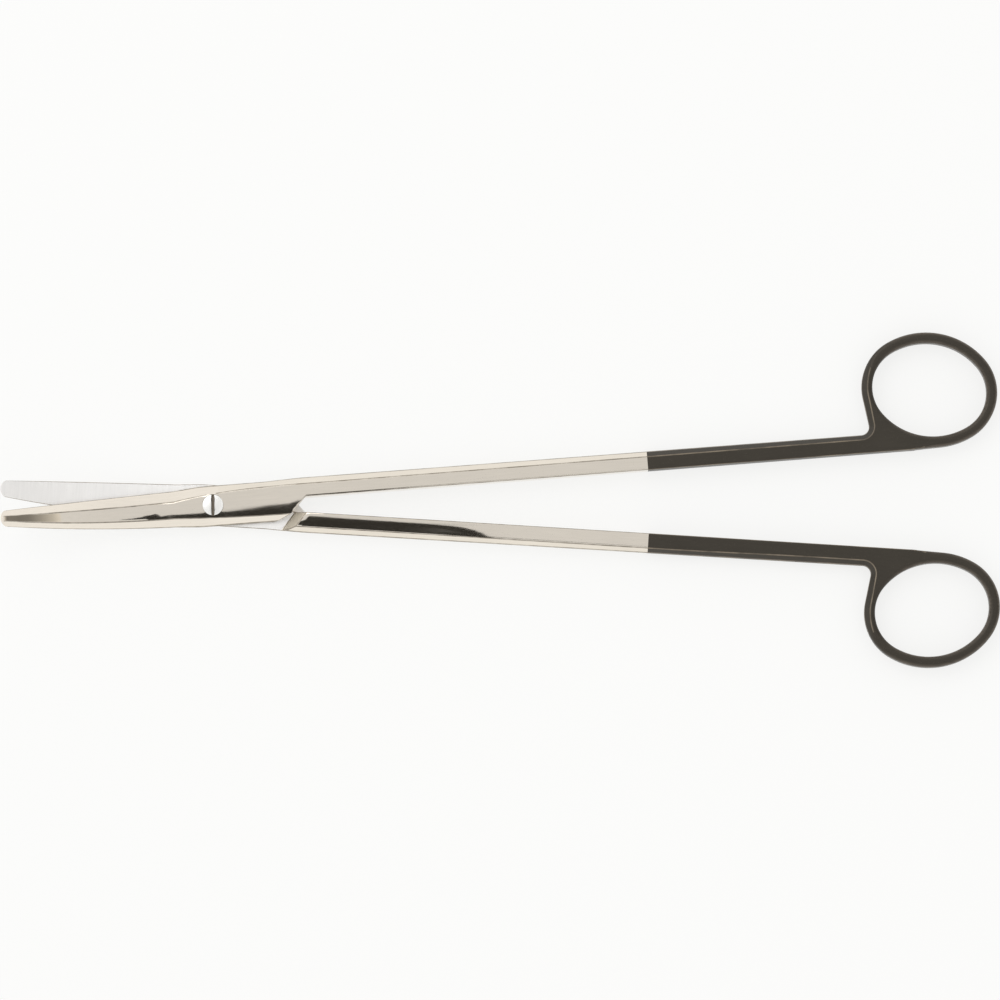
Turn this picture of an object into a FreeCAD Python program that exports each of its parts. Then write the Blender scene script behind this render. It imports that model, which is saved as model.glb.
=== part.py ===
import FreeCAD, Part
import math
import os
import re
import Sketcher

# Curved dissecting scissors, lying flat. Millimetres.
# World frame: the pivot axis is +Z through the origin, z = 0 is the underside of the joint,
# the tips point to -X and the finger rings to +X.
#
# Both halves share one own frame: x runs from the pivot toward the ring, +y is the side of the
# half's own shank, z = 0 is the plane between the two halves and +z is the half's outer side.
# The back half is the same forging turned over, so only the sign of its blade's bend differs.

SIZES = [
    # joint
    ("open_angle", 8.0, "degrees between the halves as they lie"),
    ("joint_half", 2.5, "outer face above the mating plane"),
    ("lap_gap", 0.06, "each mating face stands back this far"),
    ("plate_own", 4.6, "joint plate, own shank side"),
    ("plate_far", 4.8, "joint plate, other side"),
    ("plate_flank", 16.5, "where the diagonal end starts"),
    ("plate_corner", 21.4, "where the diagonal end meets the shank"),
    ("nest_run", 2.2, "run of the nested slopes over the joint's half thickness"),
    ("shoulder_low", 18.6, "shoulder crest at the shank's outer edge"),
    ("shoulder_high", 21.5, "shoulder crest at the shank's inner edge"),
    # blade
    ("bend_start", 9.0, "the blade is straight up to here"),
    ("bend_radius", 79.0, "curve of the blade out of its plane"),
    ("bend_angle", 29.75, "degrees of curve at the very tip"),
    ("cut_root", 3.95, "cutting side half width at the root"),
    ("cut_tip", 1.6, "the same at the tip"),
    ("cut_belly", 1.1, "fullness between root and tip"),
    ("spine_root", 4.35, "outer side half width at the root"),
    ("spine_tip", 1.9, "the same at the tip"),
    ("spine_belly", 1.15, "fullness between root and tip"),
    ("ridge_root", 1.3, "crest line toward the cutting side, root"),
    ("ridge_tip", 0.33, "the same at the tip"),
    ("back_root", 2.5, "crest line toward the outer side, root"),
    ("back_tip", 0.8, "the same at the tip"),
    ("back_belly", 1.7, "fullness between root and tip"),
    ("blade_tip_thick", 1.4, "thickness at the crest near the tip"),
    ("cut_edge_root", 0.75, "height of the cutting edge's side at the root"),
    ("cut_edge_tip", 0.45, "the same at the tip"),
    ("spine_edge_root", 0.95, "height of the outer edge's side at the root"),
    ("spine_edge_tip", 0.6, "the same at the tip"),
    ("tip_round", 2.2, "radius of the blunt tip"),
    # crest lines over the joint
    ("ridge_shank", 2.95, "crest line where the joint meets the shank"),
    ("back_joint", 3.4, "far crest line at the joint's rear"),
    # shank
    ("shank_in", 0.3, "inner face from the centre plane"),
    ("shank_out", 4.9, "outer edge by the joint"),
    ("shank_neck", 4.6, "outer edge by the ring"),
    ("shank_land", 0.62, "half height of the outer edge's land"),
    ("handle_half", 2.0, "half thickness from the neck on"),
    ("taper_start", 26.0, "the shank thins from here"),
    ("taper_end", 149.0, "to here"),
    # ring
    ("ring_x", 165.55, "centre of the finger hole"),
    ("ring_y", 13.75, "the same, off the centre plane"),
    ("hole_long", 13.1, "half length of the finger hole"),
    ("hole_short", 10.65, "half width of the finger hole"),
    ("hole_end", 9.25, "radius of the hole's round ends"),
    ("ring_turn", 13.9, "degrees, long axis falls toward the centre plane"),
    ("ring_wall", 2.5, "width of the ring's section"),
    ("ring_half", 2.1, "half height of the ring's section"),
    ("ring_round", 0.9, "rounding of the ring's section"),
    ("neck_x", 151.4, "straight flank of the ring where it leaves the shank"),
    ("neck_round", 1.9, "fillet between the shank and the flank"),
    # screw
    ("head_wide", 4.75, "screw head"),
    ("head_deep", 1.05, "depth of the head's seat"),
    ("head_dome", 0.22, "rise of the domed head"),
    ("head_lift", 0.03, "play under the head"),
    ("head_gap", 0.05, "play round the head"),
    ("pin_wide", 3.0, "plain shoulder of the screw"),
    ("pin_gap", 0.04, "play round the shoulder"),
    ("thread_wide", 2.4, "threaded end of the screw"),
    ("slot_wide", 0.7, "screwdriver slot"),
    ("slot_deep", 0.6, "the same, depth"),
]

doc = FreeCAD.newDocument("dissecting_scissors")
sheet = doc.addObject("Spreadsheet::Sheet", "sizes")
for row, (alias, size, note) in enumerate(SIZES, start=1):
    sheet.set("A%d" % row, alias)
    sheet.set("B%d" % row, str(size))
    sheet.set("C%d" % row, note)
    sheet.setAlias("B%d" % row, alias)
doc.recompute()


def value(expression, context):
    """Number that a sheet expression gives now."""
    result = context.evalExpression(expression)
    return float(getattr(result, "Value", result))


ALIAS = re.compile(r"\b(%s)\b" % "|".join(alias for alias, _, _ in SIZES))


def named(expression):
    """Put the sheet's name before every alias in an expression."""
    return ALIAS.sub(r"sizes.\1", str(expression))


def bind(thing, path, expression):
    """Tie one property or constraint to the sheet, unless it is a plain number."""
    if ALIAS.search(str(expression)):
        thing.setExpression(path, named(expression))


def plane_of(body, role):
    return next(f for f in body.Origin.OriginFeatures if f.Role == role)


def new_sketch(body, name, role, base=(0, 0, 0), axis=(0, 0, 1), turn=0):
    """Sketch on one of the body's own planes, shifted and turned by sheet expressions."""
    sketch = body.newObject("Sketcher::SketchObject", name)
    sketch.AttachmentSupport = [(plane_of(body, role), "")]
    sketch.MapMode = "FlatFace"
    sketch.AttachmentOffset = FreeCAD.Placement(
        FreeCAD.Vector(*[value(named(part), body) for part in base]),
        FreeCAD.Rotation(FreeCAD.Vector(*axis), value(named(turn), body)))
    for letter, part in zip("xyz", base):
        bind(sketch, "AttachmentOffset.Base." + letter, part)
    bind(sketch, "AttachmentOffset.Rotation.Angle", turn)
    return sketch


def constrain(sketch, expression, *parts):
    """Add a constraint whose number comes from the sheet."""
    index = sketch.addConstraint(
        Sketcher.Constraint(*parts, value(named(expression), sketch)))
    bind(sketch, "Constraints[%d]" % index, expression)


def pin(sketch, geo, end, x, y):
    """Tie a point of the sketch to two sheet expressions."""
    constrain(sketch, x, "DistanceX", -1, 1, geo, end)
    constrain(sketch, y, "DistanceY", -1, 1, geo, end)


def spot(sketch, x, y):
    return FreeCAD.Vector(value(named(x), sketch), value(named(y), sketch), 0)


def outline(sketch, corners, closed=True):
    """Lines through corners (x, y) or (x, y, radius), the last kind rounded by an arc."""
    spots = [spot(sketch, c[0], c[1]) for c in corners]
    count = len(corners)
    arrive, leave, arcs = list(spots), list(spots), {}
    for i, corner in enumerate(corners):
        if len(corner) < 3:
            continue
        radius = value(named(corner[2]), sketch)
        to_last = (spots[i - 1] - spots[i]).normalize()
        to_next = (spots[(i + 1) % count] - spots[i]).normalize()
        half = to_last.getAngle(to_next) / 2
        arrive[i] = spots[i] + to_last * (radius / math.tan(half))
        leave[i] = spots[i] + to_next * (radius / math.tan(half))
        centre = spots[i] + (to_last + to_next).normalize() * (radius / math.sin(half))
        left = to_last.cross(to_next).z < 0
        start, end = (arrive[i], leave[i]) if left else (leave[i], arrive[i])
        angles = [math.atan2(p.y - centre.y, p.x - centre.x) for p in (start, end)]
        arc = sketch.addGeometry(Part.ArcOfCircle(
            Part.Circle(centre, FreeCAD.Vector(0, 0, 1), radius), *angles), False)
        arcs[i] = (arc, 1 if left else 2, 2 if left else 1)
    links = count if closed else count - 1
    lines = [sketch.addGeometry(Part.LineSegment(leave[i], arrive[(i + 1) % count]), False)
             for i in range(links)]
    for i, corner in enumerate(corners):
        before = lines[i - 1] if closed or i > 0 else None
        after = lines[i] if i < links else None
        if i in arcs:
            arc, first, last = arcs[i]
            mark = sketch.addGeometry(Part.Point(spots[i]), True)
            sketch.addConstraint([
                Sketcher.Constraint("Tangent", before, 2, arc, first),
                Sketcher.Constraint("Tangent", arc, last, after, 1),
                Sketcher.Constraint("PointOnObject", mark, 1, before),
                Sketcher.Constraint("PointOnObject", mark, 1, after)])
            constrain(sketch, corner[2], "Radius", arc)
            pin(sketch, mark, 1, corner[0], corner[1])
        else:
            if before is not None and after is not None:
                sketch.addConstraint(Sketcher.Constraint("Coincident", before, 2, after, 1))
            line, end = (after, 1) if after is not None else (before, 2)
            pin(sketch, line, end, corner[0], corner[1])


def circle(sketch, diameter):
    """Circle about the sketch's own origin."""
    radius = value(named(diameter), sketch) / 2
    geo = sketch.addGeometry(
        Part.Circle(FreeCAD.Vector(0, 0, 0), FreeCAD.Vector(0, 0, 1), radius), False)
    sketch.addConstraint(Sketcher.Constraint("Coincident", geo, 3, -1, 1))
    constrain(sketch, diameter, "Diameter", geo)


def oval(sketch, half_long, half_short, end_radius):
    """Oval of four tangent arcs about the sketch's own origin, its long axis along x."""
    across, up, end = [value(named(part), sketch) for part in (half_long, half_short, end_radius)]
    # the side arcs' centres lie this far beyond the origin
    offset = ((across - end) ** 2 - (up - end) ** 2) / (2 * (up - end))
    turn = math.atan2(offset, across - end)
    rounds = [(across - end, 0, end, -turn, turn), (0, -offset, up + offset, turn, math.pi - turn),
              (end - across, 0, end, math.pi - turn, math.pi + turn),
              (0, offset, up + offset, math.pi + turn, 2 * math.pi - turn)]
    arcs = [sketch.addGeometry(Part.ArcOfCircle(
        Part.Circle(FreeCAD.Vector(x, y, 0), FreeCAD.Vector(0, 0, 1), radius), first, last), False)
        for x, y, radius, first, last in rounds]
    for sign, arc in ((1, arcs[0]), (-1, arcs[2])):
        pin(sketch, arc, 3, "%d * ((%s) - (%s))" % (sign, half_long, end_radius), 0)
        constrain(sketch, end_radius, "Radius", arc)
    for sign, arc in ((1, arcs[1]), (-1, arcs[3])):
        mark = sketch.addGeometry(Part.Point(FreeCAD.Vector(0, sign * up, 0)), True)
        pin(sketch, mark, 1, 0, "%d * (%s)" % (sign, half_short))
        sketch.addConstraint(Sketcher.Constraint("PointOnObject", mark, 1, arc))
    for arc, after in zip(arcs, arcs[1:] + arcs[:1]):
        sketch.addConstraint(Sketcher.Constraint("Tangent", arc, 2, after, 1))


def extrude(body, kind, sketch, length, both=False, reverse=False):
    """Pad or Pocket of a sketch over a length from the sheet."""
    feature = body.newObject("PartDesign::" + kind, sketch.Name.replace("_plan", ""))
    feature.Profile = sketch
    feature.SideType = "Symmetric" if both else "One side"
    feature.Reversed = reverse
    feature.Length = value(named(length), body)
    bind(feature, "Length", length)
    return feature


def loft(body, kind, name, sketches):
    """Additive or subtractive loft through a row of sketches."""
    feature = body.newObject("PartDesign::" + kind, name)
    feature.Profile = sketches[0]
    feature.Sections = sketches[1:]
    return feature


def sweep(body, kind, name, profile, path):
    """Additive or subtractive sweep of a profile along a flat path."""
    feature = body.newObject("PartDesign::" + kind, name)
    feature.Profile = profile
    feature.Spine = (path, [])
    return feature


def blend(root, tip, belly, u):
    """Sheet expression for a size that runs from root to tip with some fullness."""
    text = "%s * %.4f + %s * %.4f" % (root, 1 - u, tip, u)
    if belly:
        text += " + %s * %.4f" % (belly, u * (1 - u))
    return text


def blade_section(body, name, u, bend):
    """Six-sided section of the blade, square to its curve, at the share u of its length."""
    angle = "bend_angle * %.4f" % u
    sketch = new_sketch(
        body, name, "YZ_Plane",
        base=(0, "%d * bend_radius * (1 - cos(%s))" % (bend, angle),
              "-1 * bend_start - bend_radius * sin(%s)" % angle),
        axis=(1, 0, 0), turn="%d * %s" % (bend, angle))
    cut = blend("cut_root", "cut_tip", "cut_belly", u)
    spine = "-1 * (%s)" % blend("spine_root", "spine_tip", "spine_belly", u)
    crest = blend("joint_half", "blade_tip_thick", None, u)
    outline(sketch, [
        (cut, "lap_gap"),
        (cut, blend("cut_edge_root", "cut_edge_tip", None, u)),
        (blend("ridge_root", "ridge_tip", None, u), crest),
        ("-1 * (%s)" % blend("back_root", "back_tip", "back_belly", u), crest),
        (spine, blend("spine_edge_root", "spine_edge_tip", None, u)),
        (spine, "lap_gap")])
    return sketch


def bevel_section(body, name, x, side, crest, edge, land):
    """Triangle that takes off the outer corner between a crest line and an edge's land."""
    sketch = new_sketch(body, name, "YZ_Plane", base=(0, 0, x))
    slope = "(joint_half - (%s)) / ((%s) - (%s))" % (land, edge, crest)
    near = "%d * ((%s) - 0.4)" % (side, crest)
    far = "%d * ((%s) + 0.4)" % (side, edge)
    top = "joint_half + 0.4 * " + slope
    outline(sketch, [(near, top), (far, "(%s) - 0.4 * %s" % (land, slope)), (far, top)])
    return sketch


def joint_bevel(body, name, side, stations, end, power, crests, edges, lands):
    """Bevel along one side of the joint plate, from the blade's root to its end.

    edges are the outer edge's places at the root, along the plate and at the end; crests and
    lands are their own values at the root and after it.
    """
    rows = []
    for i, x in enumerate(stations):
        share = max((end - x) / (end - stations[0]), 0) ** power
        crest = "%s - (%s - %s) * %.4f" % (crests[1], crests[1], crests[0], share)
        edge = edges[0] if i == 0 else edges[2] if i == len(stations) - 1 else edges[1]
        rows.append(bevel_section(body, "%s_%d" % (name, i), x if i else "-1 * bend_start",
                                  side, crest, edge, lands[0] if i == 0 else lands[1]))
    return loft(body, "SubtractiveLoft", name, rows)


def build_half(label, bend):
    """One forged half in its own frame, without the bores for the screw."""
    body = doc.addObject("PartDesign::Body", label)
    body.Label = label

    # joint plate with its diagonal rear end
    sketch = new_sketch(body, label + "_plate_plan", "XY_Plane", base=(0, 0, "lap_gap"))
    outline(sketch, [
        ("-1 * bend_start", "-1 * spine_root"), (-3, "-1 * plate_far", 40),
        ("plate_flank", "-1 * plate_far", 0.6), ("plate_corner", "shank_in"),
        ("plate_corner", "shank_in + 2"), (15, "plate_own"),
        (-3, "plate_own", 20), ("-1 * bend_start", "cut_root")])
    extrude(body, "Pad", sketch, "joint_half - lap_gap")

    # the diagonal end leans under, so that it nests over the other half's sloped shoulder
    sketch = new_sketch(
        body, label + "_lean_plan", "XZ_Plane", base=("plate_flank", 0, "plate_far"),
        axis=(0, 1, 0),
        turn="atan((shank_in + plate_far) / (plate_corner - plate_flank)) / 1deg - 90")
    outline(sketch, [(0, "joint_half"), ("-1 * nest_run", 0), (8, 0), (8, "joint_half")])
    extrude(body, "Pocket", sketch, 30, both=True)

    # shank and web of the ring in full thickness, thinned toward the ring
    sketch = new_sketch(body, label + "_shank_plan", "XY_Plane")
    outline(sketch, [
        (12, "shank_in"), ("ring_x - 1.2", "shank_in"), ("ring_x + 4.4", "shank_in + 2.85"),
        ("ring_x", "ring_y"), ("neck_x + 0.6", "ring_y + 1.7"), ("neck_x - 1.05", "ring_y - 1.6"),
        ("neck_x", "shank_neck", "neck_round"), (20, "shank_out"), (12, "plate_own")])
    extrude(body, "Pad", sketch, "2 * joint_half", both=True)
    place = ("ring_x", "ring_y", 0)
    sketch = new_sketch(body, label + "_web_plan", "XY_Plane", base=place,
                        turn="-1 * ring_turn")
    middle_line = ["%s + ring_wall / 2" % size for size in ("hole_long", "hole_short", "hole_end")]
    oval(sketch, *middle_line)
    extrude(body, "Pocket", sketch, 20, both=True)

    sketch = new_sketch(
        body, label + "_shoulder_plan", "XZ_Plane", base=("shoulder_low", 0, "-1 * shank_out"),
        axis=(0, 1, 0),
        turn="90 - atan((shank_out - shank_in) / (shoulder_high - shoulder_low)) / 1deg")
    outline(sketch, [
        (-20, "lap_gap"), ("-1 * nest_run * (1 + lap_gap / joint_half)", "lap_gap"),
        ("nest_run * 0.2", "-1.2 * joint_half"), (-20, "-1.2 * joint_half")])
    extrude(body, "Pocket", sketch, 30, both=True)

    sketch = new_sketch(body, label + "_taper_plan", "XZ_Plane")
    for sign in (1, -1):
        outline(sketch, [
            ("taper_start", "%d * joint_half" % sign), ("taper_end", "%d * handle_half" % sign),
            (200, "%d * handle_half" % sign), (200, "%d * (joint_half + 1)" % sign),
            ("taper_start", "%d * (joint_half + 1)" % sign)])
    extrude(body, "Pocket", sketch, 60, both=True)

    # bevels over the joint, where the blade's crest lines run on to the shank
    joint_bevel(body, label + "_far_bevel", -1, (-9, -5, 0, 6, 12, 19), 18, 1.8,
                ("back_root", "back_joint"), ("spine_root", "plate_far", "plate_far"),
                ("spine_edge_root", "spine_edge_root"))
    own = joint_bevel(body, label + "_own_bevel", 1, (-9, -5, -1, 4, 11, 20), 20, 2.5,
                      ("ridge_root", "ridge_shank"), ("cut_root", "plate_own", "shank_out"),
                      ("cut_edge_root", "shank_land"))

    # long outer bevels of the shank, round the neck and up the ring's flank, on both sides
    path = new_sketch(body, label + "_bevel_path", "XY_Plane")
    outline(path, [
        (20, "shank_out"), ("neck_x", "shank_neck", "neck_round"),
        ("neck_x - 0.85", "ring_y - 3", 12), ("neck_x - 4", "ring_y + 4")], closed=False)
    profile = bevel_section(body, label + "_bevel_plan", 20, 1,
                            "ridge_shank", "shank_out", "shank_land")
    cut = sweep(body, "SubtractivePipe", label + "_bevel", profile, path)
    mirror = body.newObject("PartDesign::Mirrored", label + "_bevels_below")
    mirror.Originals = [own, cut]
    mirror.MirrorPlane = (plane_of(body, "XY_Plane"), [""])
    body.Tip = mirror

    # curved blade and its blunt tip
    loft(body, "AdditiveLoft", label + "_blade",
         [blade_section(body, "%s_blade_%d" % (label, i), i / 8, bend) for i in range(9)])
    sketch = new_sketch(
        body, label + "_tip_plan", "XY_Plane",
        base=("tip_round - bend_start - bend_radius * sin(bend_angle)",
              "(cut_tip - spine_tip) / 2", 0))
    radius = value(named("tip_round"), sketch)
    arc = sketch.addGeometry(Part.ArcOfCircle(
        Part.Circle(FreeCAD.Vector(0, 0, 0), FreeCAD.Vector(0, 0, 1), radius),
        math.pi / 2, math.pi * 3 / 2), False)
    ends = [FreeCAD.Vector(0, -radius, 0), FreeCAD.Vector(0, -8, 0), FreeCAD.Vector(-8, -8, 0),
            FreeCAD.Vector(-8, 8, 0), FreeCAD.Vector(0, 8, 0), FreeCAD.Vector(0, radius, 0)]
    lines = [sketch.addGeometry(Part.LineSegment(a, b), False) for a, b in zip(ends, ends[1:])]
    sketch.addConstraint(Sketcher.Constraint("Coincident", arc, 3, -1, 1))
    constrain(sketch, "tip_round", "Radius", arc)
    for a, b in zip(lines, lines[1:]):
        sketch.addConstraint(Sketcher.Constraint("Coincident", a, 2, b, 1))
    sketch.addConstraint([Sketcher.Constraint("Coincident", arc, 2, lines[0], 1),
                          Sketcher.Constraint("Coincident", lines[-1], 2, arc, 1),
                          Sketcher.Constraint("PointOnObject", arc, 1, -2),
                          Sketcher.Constraint("PointOnObject", arc, 2, -2)])
    for line, (x, y) in zip(lines, ((0, -8), (-8, -8), (-8, 8), (0, 8))):
        pin(sketch, line, 2, x, y)
    extrude(body, "Pocket", sketch, 80, both=True)

    # finger ring: a rounded section carried round the hole
    spine = new_sketch(body, label + "_ring_path", "XY_Plane", base=place,
                       turn="-1 * ring_turn")
    oval(spine, *middle_line)
    profile = new_sketch(
        body, label + "_ring_plan", "XZ_Plane",
        base=("ring_x + (hole_long + ring_wall / 2) * cos(ring_turn)", 0,
              "(hole_long + ring_wall / 2) * sin(ring_turn) - ring_y"),
        axis=(0, 1, 0), turn="-1 * ring_turn")
    wide, high = "ring_wall / 2", "ring_half"
    outline(profile, [("-1 * " + wide, "-1 * " + high, "ring_round"),
                      (wide, "-1 * " + high, "ring_round"), (wide, high, "ring_round"),
                      ("-1 * " + wide, high, "ring_round")])
    ring = sweep(body, "AdditivePipe", label + "_ring", profile, spine)
    ring.Refine = False
    return body


def bore(body, name, level, diameter, depth):
    """Round pocket about the pivot axis, from a level down into the half's outer side."""
    sketch = new_sketch(body, name + "_plan", "XY_Plane", base=(0, 0, level))
    circle(sketch, diameter)
    return extrude(body, "Pocket", sketch, depth)


def build_screw():
    """Slotted screw: domed head, plain shoulder for the front half, thread for the back half."""
    body = doc.addObject("PartDesign::Body", "pivot_screw")
    body.Label = "pivot_screw"
    seat = "joint_half - head_deep + head_lift"
    dome = "((head_wide / 2) ^ 2 + head_dome ^ 2) / (2 * head_dome)"
    sketch = new_sketch(body, "pivot_screw_plan", "XZ_Plane")
    corners = [
        (0, "joint_half + head_dome"), (0, "-1 * joint_half"),
        ("thread_wide / 2 - 0.2", "-1 * joint_half"),
        ("thread_wide / 2", "0.2 - joint_half"), ("thread_wide / 2", "-1 * lap_gap"),
        ("pin_wide / 2", "-1 * lap_gap"), ("pin_wide / 2", seat), ("head_wide / 2", seat),
        ("head_wide / 2", "joint_half")]
    outline(sketch, corners, closed=False)
    count = sketch.GeometryCount
    top, rim = spot(sketch, *corners[0]), spot(sketch, *corners[-1])
    radius = value(named(dome), sketch)
    centre = FreeCAD.Vector(0, top.y - radius, 0)
    arc = sketch.addGeometry(Part.ArcOfCircle(
        Part.Circle(centre, FreeCAD.Vector(0, 0, 1), radius),
        math.atan2(rim.y - centre.y, rim.x), math.pi / 2), False)
    sketch.addConstraint([Sketcher.Constraint("Coincident", arc, 1, count - 1, 2),
                          Sketcher.Constraint("Coincident", arc, 2, 0, 1),
                          Sketcher.Constraint("PointOnObject", arc, 3, -2)])
    turned = body.newObject("PartDesign::Revolution", "pivot_screw_turned")
    turned.Profile = sketch
    turned.ReferenceAxis = (sketch, ["V_Axis"])
    turned.Angle = 360
    sketch = new_sketch(body, "pivot_screw_slot_plan", "XY_Plane",
                        base=(0, 0, "joint_half + head_dome"))
    half_slot = "slot_wide / 2"
    outline(sketch, [("-1 * " + half_slot, "-1 * head_wide"), (half_slot, "-1 * head_wide"),
                     (half_slot, "head_wide"), ("-1 * " + half_slot, "head_wide")])
    extrude(body, "Pocket", sketch, "slot_deep + head_dome")
    return body


front = build_half("front_half", 1)
bore(front, "front_half_seat", "joint_half", "head_wide + 2 * head_gap", "head_deep")
bore(front, "front_half_bore", "joint_half", "pin_wide + 2 * pin_gap", "2 * joint_half")
back = build_half("back_half", -1)
bore(back, "back_half_bore", "joint_half", "thread_wide", "2 * joint_half")
screw = build_screw()

# the halves lie on the joint's underside, each turned by half of the opening
for body in (front, back, screw):
    body.setExpression("Placement.Base.z", named("joint_half"))
front.Placement.Rotation = FreeCAD.Rotation(FreeCAD.Vector(0, 0, 1), 4)
front.setExpression("Placement.Rotation.Angle", named("open_angle / 2"))
# turned over about an axis at a quarter of the opening, which is a flip and a half opening
back.Placement.Rotation = FreeCAD.Rotation(FreeCAD.Vector(1, 0, 0), 180)
back.setExpression("Placement.Rotation.Axis.x", named("cos(open_angle / 4)"))
back.setExpression("Placement.Rotation.Axis.y", named("-1 * sin(open_angle / 4)"))
doc.recompute()

for item in doc.Objects:
    if {"Invalid", "Error"} & set(item.State):
        raise RuntimeError("%s did not compute: %s" % (item.Name, item.State))
os.makedirs("parts", exist_ok=True)
for body in (front, back, screw):
    shape = body.Shape
    if shape.isNull() or not shape.isValid() or len(shape.Solids) != 1:
        raise RuntimeError("%s is not one valid solid" % body.Label)
    shape.exportStep("parts/%s.step" % body.Label)
    print(body.Label, shape.BoundBox, round(shape.Volume, 2), body.Placement)
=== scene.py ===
"""Dressed model of long curved dissecting scissors, lying slightly open on a pale table.

Shapes are worked out in millimetres in the own frame of each forged half, where x runs from the
pivot to the finger ring, +y is the side of the half's own shank, z = 0 is the plane between the
halves and +z is the half's outer side. The back half is the same forging turned over.
"""
from __future__ import annotations

import logging
import math
from collections.abc import Callable, Iterable, Sequence
from dataclasses import dataclass
from enum import Enum
from itertools import pairwise

import bmesh
import bpy
from bpy.types import ID, Material, Node, NodeOutputs, NodeSocket, NodeTree, Object
from mathutils import Matrix, Vector


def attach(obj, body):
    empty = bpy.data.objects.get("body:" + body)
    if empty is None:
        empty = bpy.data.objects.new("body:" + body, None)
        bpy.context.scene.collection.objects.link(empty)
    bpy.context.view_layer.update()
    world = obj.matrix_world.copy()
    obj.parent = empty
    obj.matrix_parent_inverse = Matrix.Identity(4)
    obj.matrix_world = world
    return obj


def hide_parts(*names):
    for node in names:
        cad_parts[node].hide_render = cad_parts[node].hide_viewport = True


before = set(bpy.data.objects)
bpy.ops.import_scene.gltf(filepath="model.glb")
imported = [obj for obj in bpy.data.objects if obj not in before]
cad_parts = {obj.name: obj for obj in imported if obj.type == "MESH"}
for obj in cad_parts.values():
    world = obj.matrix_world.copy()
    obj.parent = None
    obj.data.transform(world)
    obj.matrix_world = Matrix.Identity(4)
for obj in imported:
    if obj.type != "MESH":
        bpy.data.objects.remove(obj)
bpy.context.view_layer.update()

log = logging.getLogger("scissors")

MM = 0.001
HALF_OPENING = math.radians(4.0)

Point = tuple[float, ...]
Entry = NodeSocket | float | Point


class Finish(Enum):
    """Which surface a face of a piece has, by the number of its material slot."""

    POLISHED = 0
    GROUND = 1
    COATED = 2
    EASED = 3
    SHOULDER = 4


def mix(a: float, b: float, share: float) -> float:
    """Return the value that lies at a share of the way from a to b."""
    return a + (b - a) * share


def ease(x: float, start: float, end: float) -> float:
    """Return 0 before start, 1 after end and a smooth rise between them."""
    t = min(max((x - start) / (end - start), 0.0), 1.0)
    return t * t * (3 - 2 * t)


def ladder(start: Sequence[float], end: Sequence[float], count: int) -> list[Point]:
    """Return count + 1 evenly spaced points from start to end, both included."""
    return [tuple(mix(a, b, i / count) for a, b in zip(start, end)) for i in range(count + 1)]


def show(name: str, data: ID | None) -> Object:
    """Make an object of some data and link it to the scene.

    Args:
        name: Name of the object.
        data: Its mesh, lamp or camera.

    Returns:
        The object.
    """
    thing = bpy.data.objects.new(name, data)
    bpy.context.scene.collection.objects.link(thing)
    return thing


class Skin:
    """Faces of one piece, given in millimetres and welded where their corners meet."""

    WELD = 0.002 * MM

    def __init__(self) -> None:
        """Start with no faces."""
        self.mesh = bmesh.new()

    def face(self, points: Iterable[Point], finish: Finish) -> None:
        """Add one face with its corners in order."""
        corners = [self.mesh.verts.new(Vector(point) * MM) for point in points]
        self.mesh.faces.new(corners).material_index = finish.value

    def strips(self, rows: Sequence[Sequence[Point]], finish: Finish) -> None:
        """Add the four-sided faces between rows that have as many points each.

        Args:
            rows: Rows of points, one after another.
            finish: Surface of the faces.
        """
        for row, after in pairwise(rows):
            for (a, b), (d, c) in zip(pairwise(row), pairwise(after)):
                self.face((a, b, c, d), finish)

    def piece(self, name: str, place: Matrix) -> Object:
        """Weld the faces and make an object of them.

        Args:
            name: Name of the object.
            place: Where the piece's own frame lies in the shared frame.

        Returns:
            The object, linked to the scene.
        """
        bmesh.ops.remove_doubles(self.mesh, verts=self.mesh.verts, dist=self.WELD)
        bmesh.ops.dissolve_degenerate(self.mesh, edges=self.mesh.edges, dist=self.WELD)
        bmesh.ops.recalc_face_normals(self.mesh, faces=self.mesh.faces)
        loose = sum(len(edge.link_faces) != 2 for edge in self.mesh.edges)
        log.info("%s: %d faces, %d open edges", name, len(self.mesh.faces), loose)
        data = bpy.data.meshes.new(name)
        self.mesh.to_mesh(data)
        self.mesh.free()
        thing = show(name, data)
        thing.matrix_world = place
        return thing


def seat(thing: Object) -> None:
    """Move a piece's mesh into the shared frame and keep its own places for the materials.

    Args:
        thing: The piece.
    """
    data = thing.data
    own = data.attributes.new("own_place", "FLOAT_VECTOR", "POINT")
    for vertex, entry in zip(data.vertices, own.data):
        entry.vector = vertex.co
    data.transform(thing.matrix_world)
    thing.matrix_world = Matrix()


def settle(thing: Object) -> None:
    """Apply all modifiers of an object to its mesh.

    Args:
        thing: The object.
    """
    shape = bpy.data.meshes.new_from_object(
        thing.evaluated_get(bpy.context.evaluated_depsgraph_get()))
    thing.modifiers.clear()
    thing.data = shape


def carve(thing: Object, tools: Sequence[Skin]) -> None:
    """Cut tool shapes out of an object.

    Args:
        thing: The object that is cut.
        tools: Closed shapes in the object's own frame.
    """
    cutters = [tool.piece("cutter", thing.matrix_world) for tool in tools]
    for cutter in cutters:
        cut = thing.modifiers.new("cut", "BOOLEAN")
        cut.object, cut.solver, cut.operation = cutter, "EXACT", "DIFFERENCE"
    bpy.context.view_layer.update()
    settle(thing)
    for cutter in cutters:
        bpy.data.objects.remove(cutter)


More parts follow.
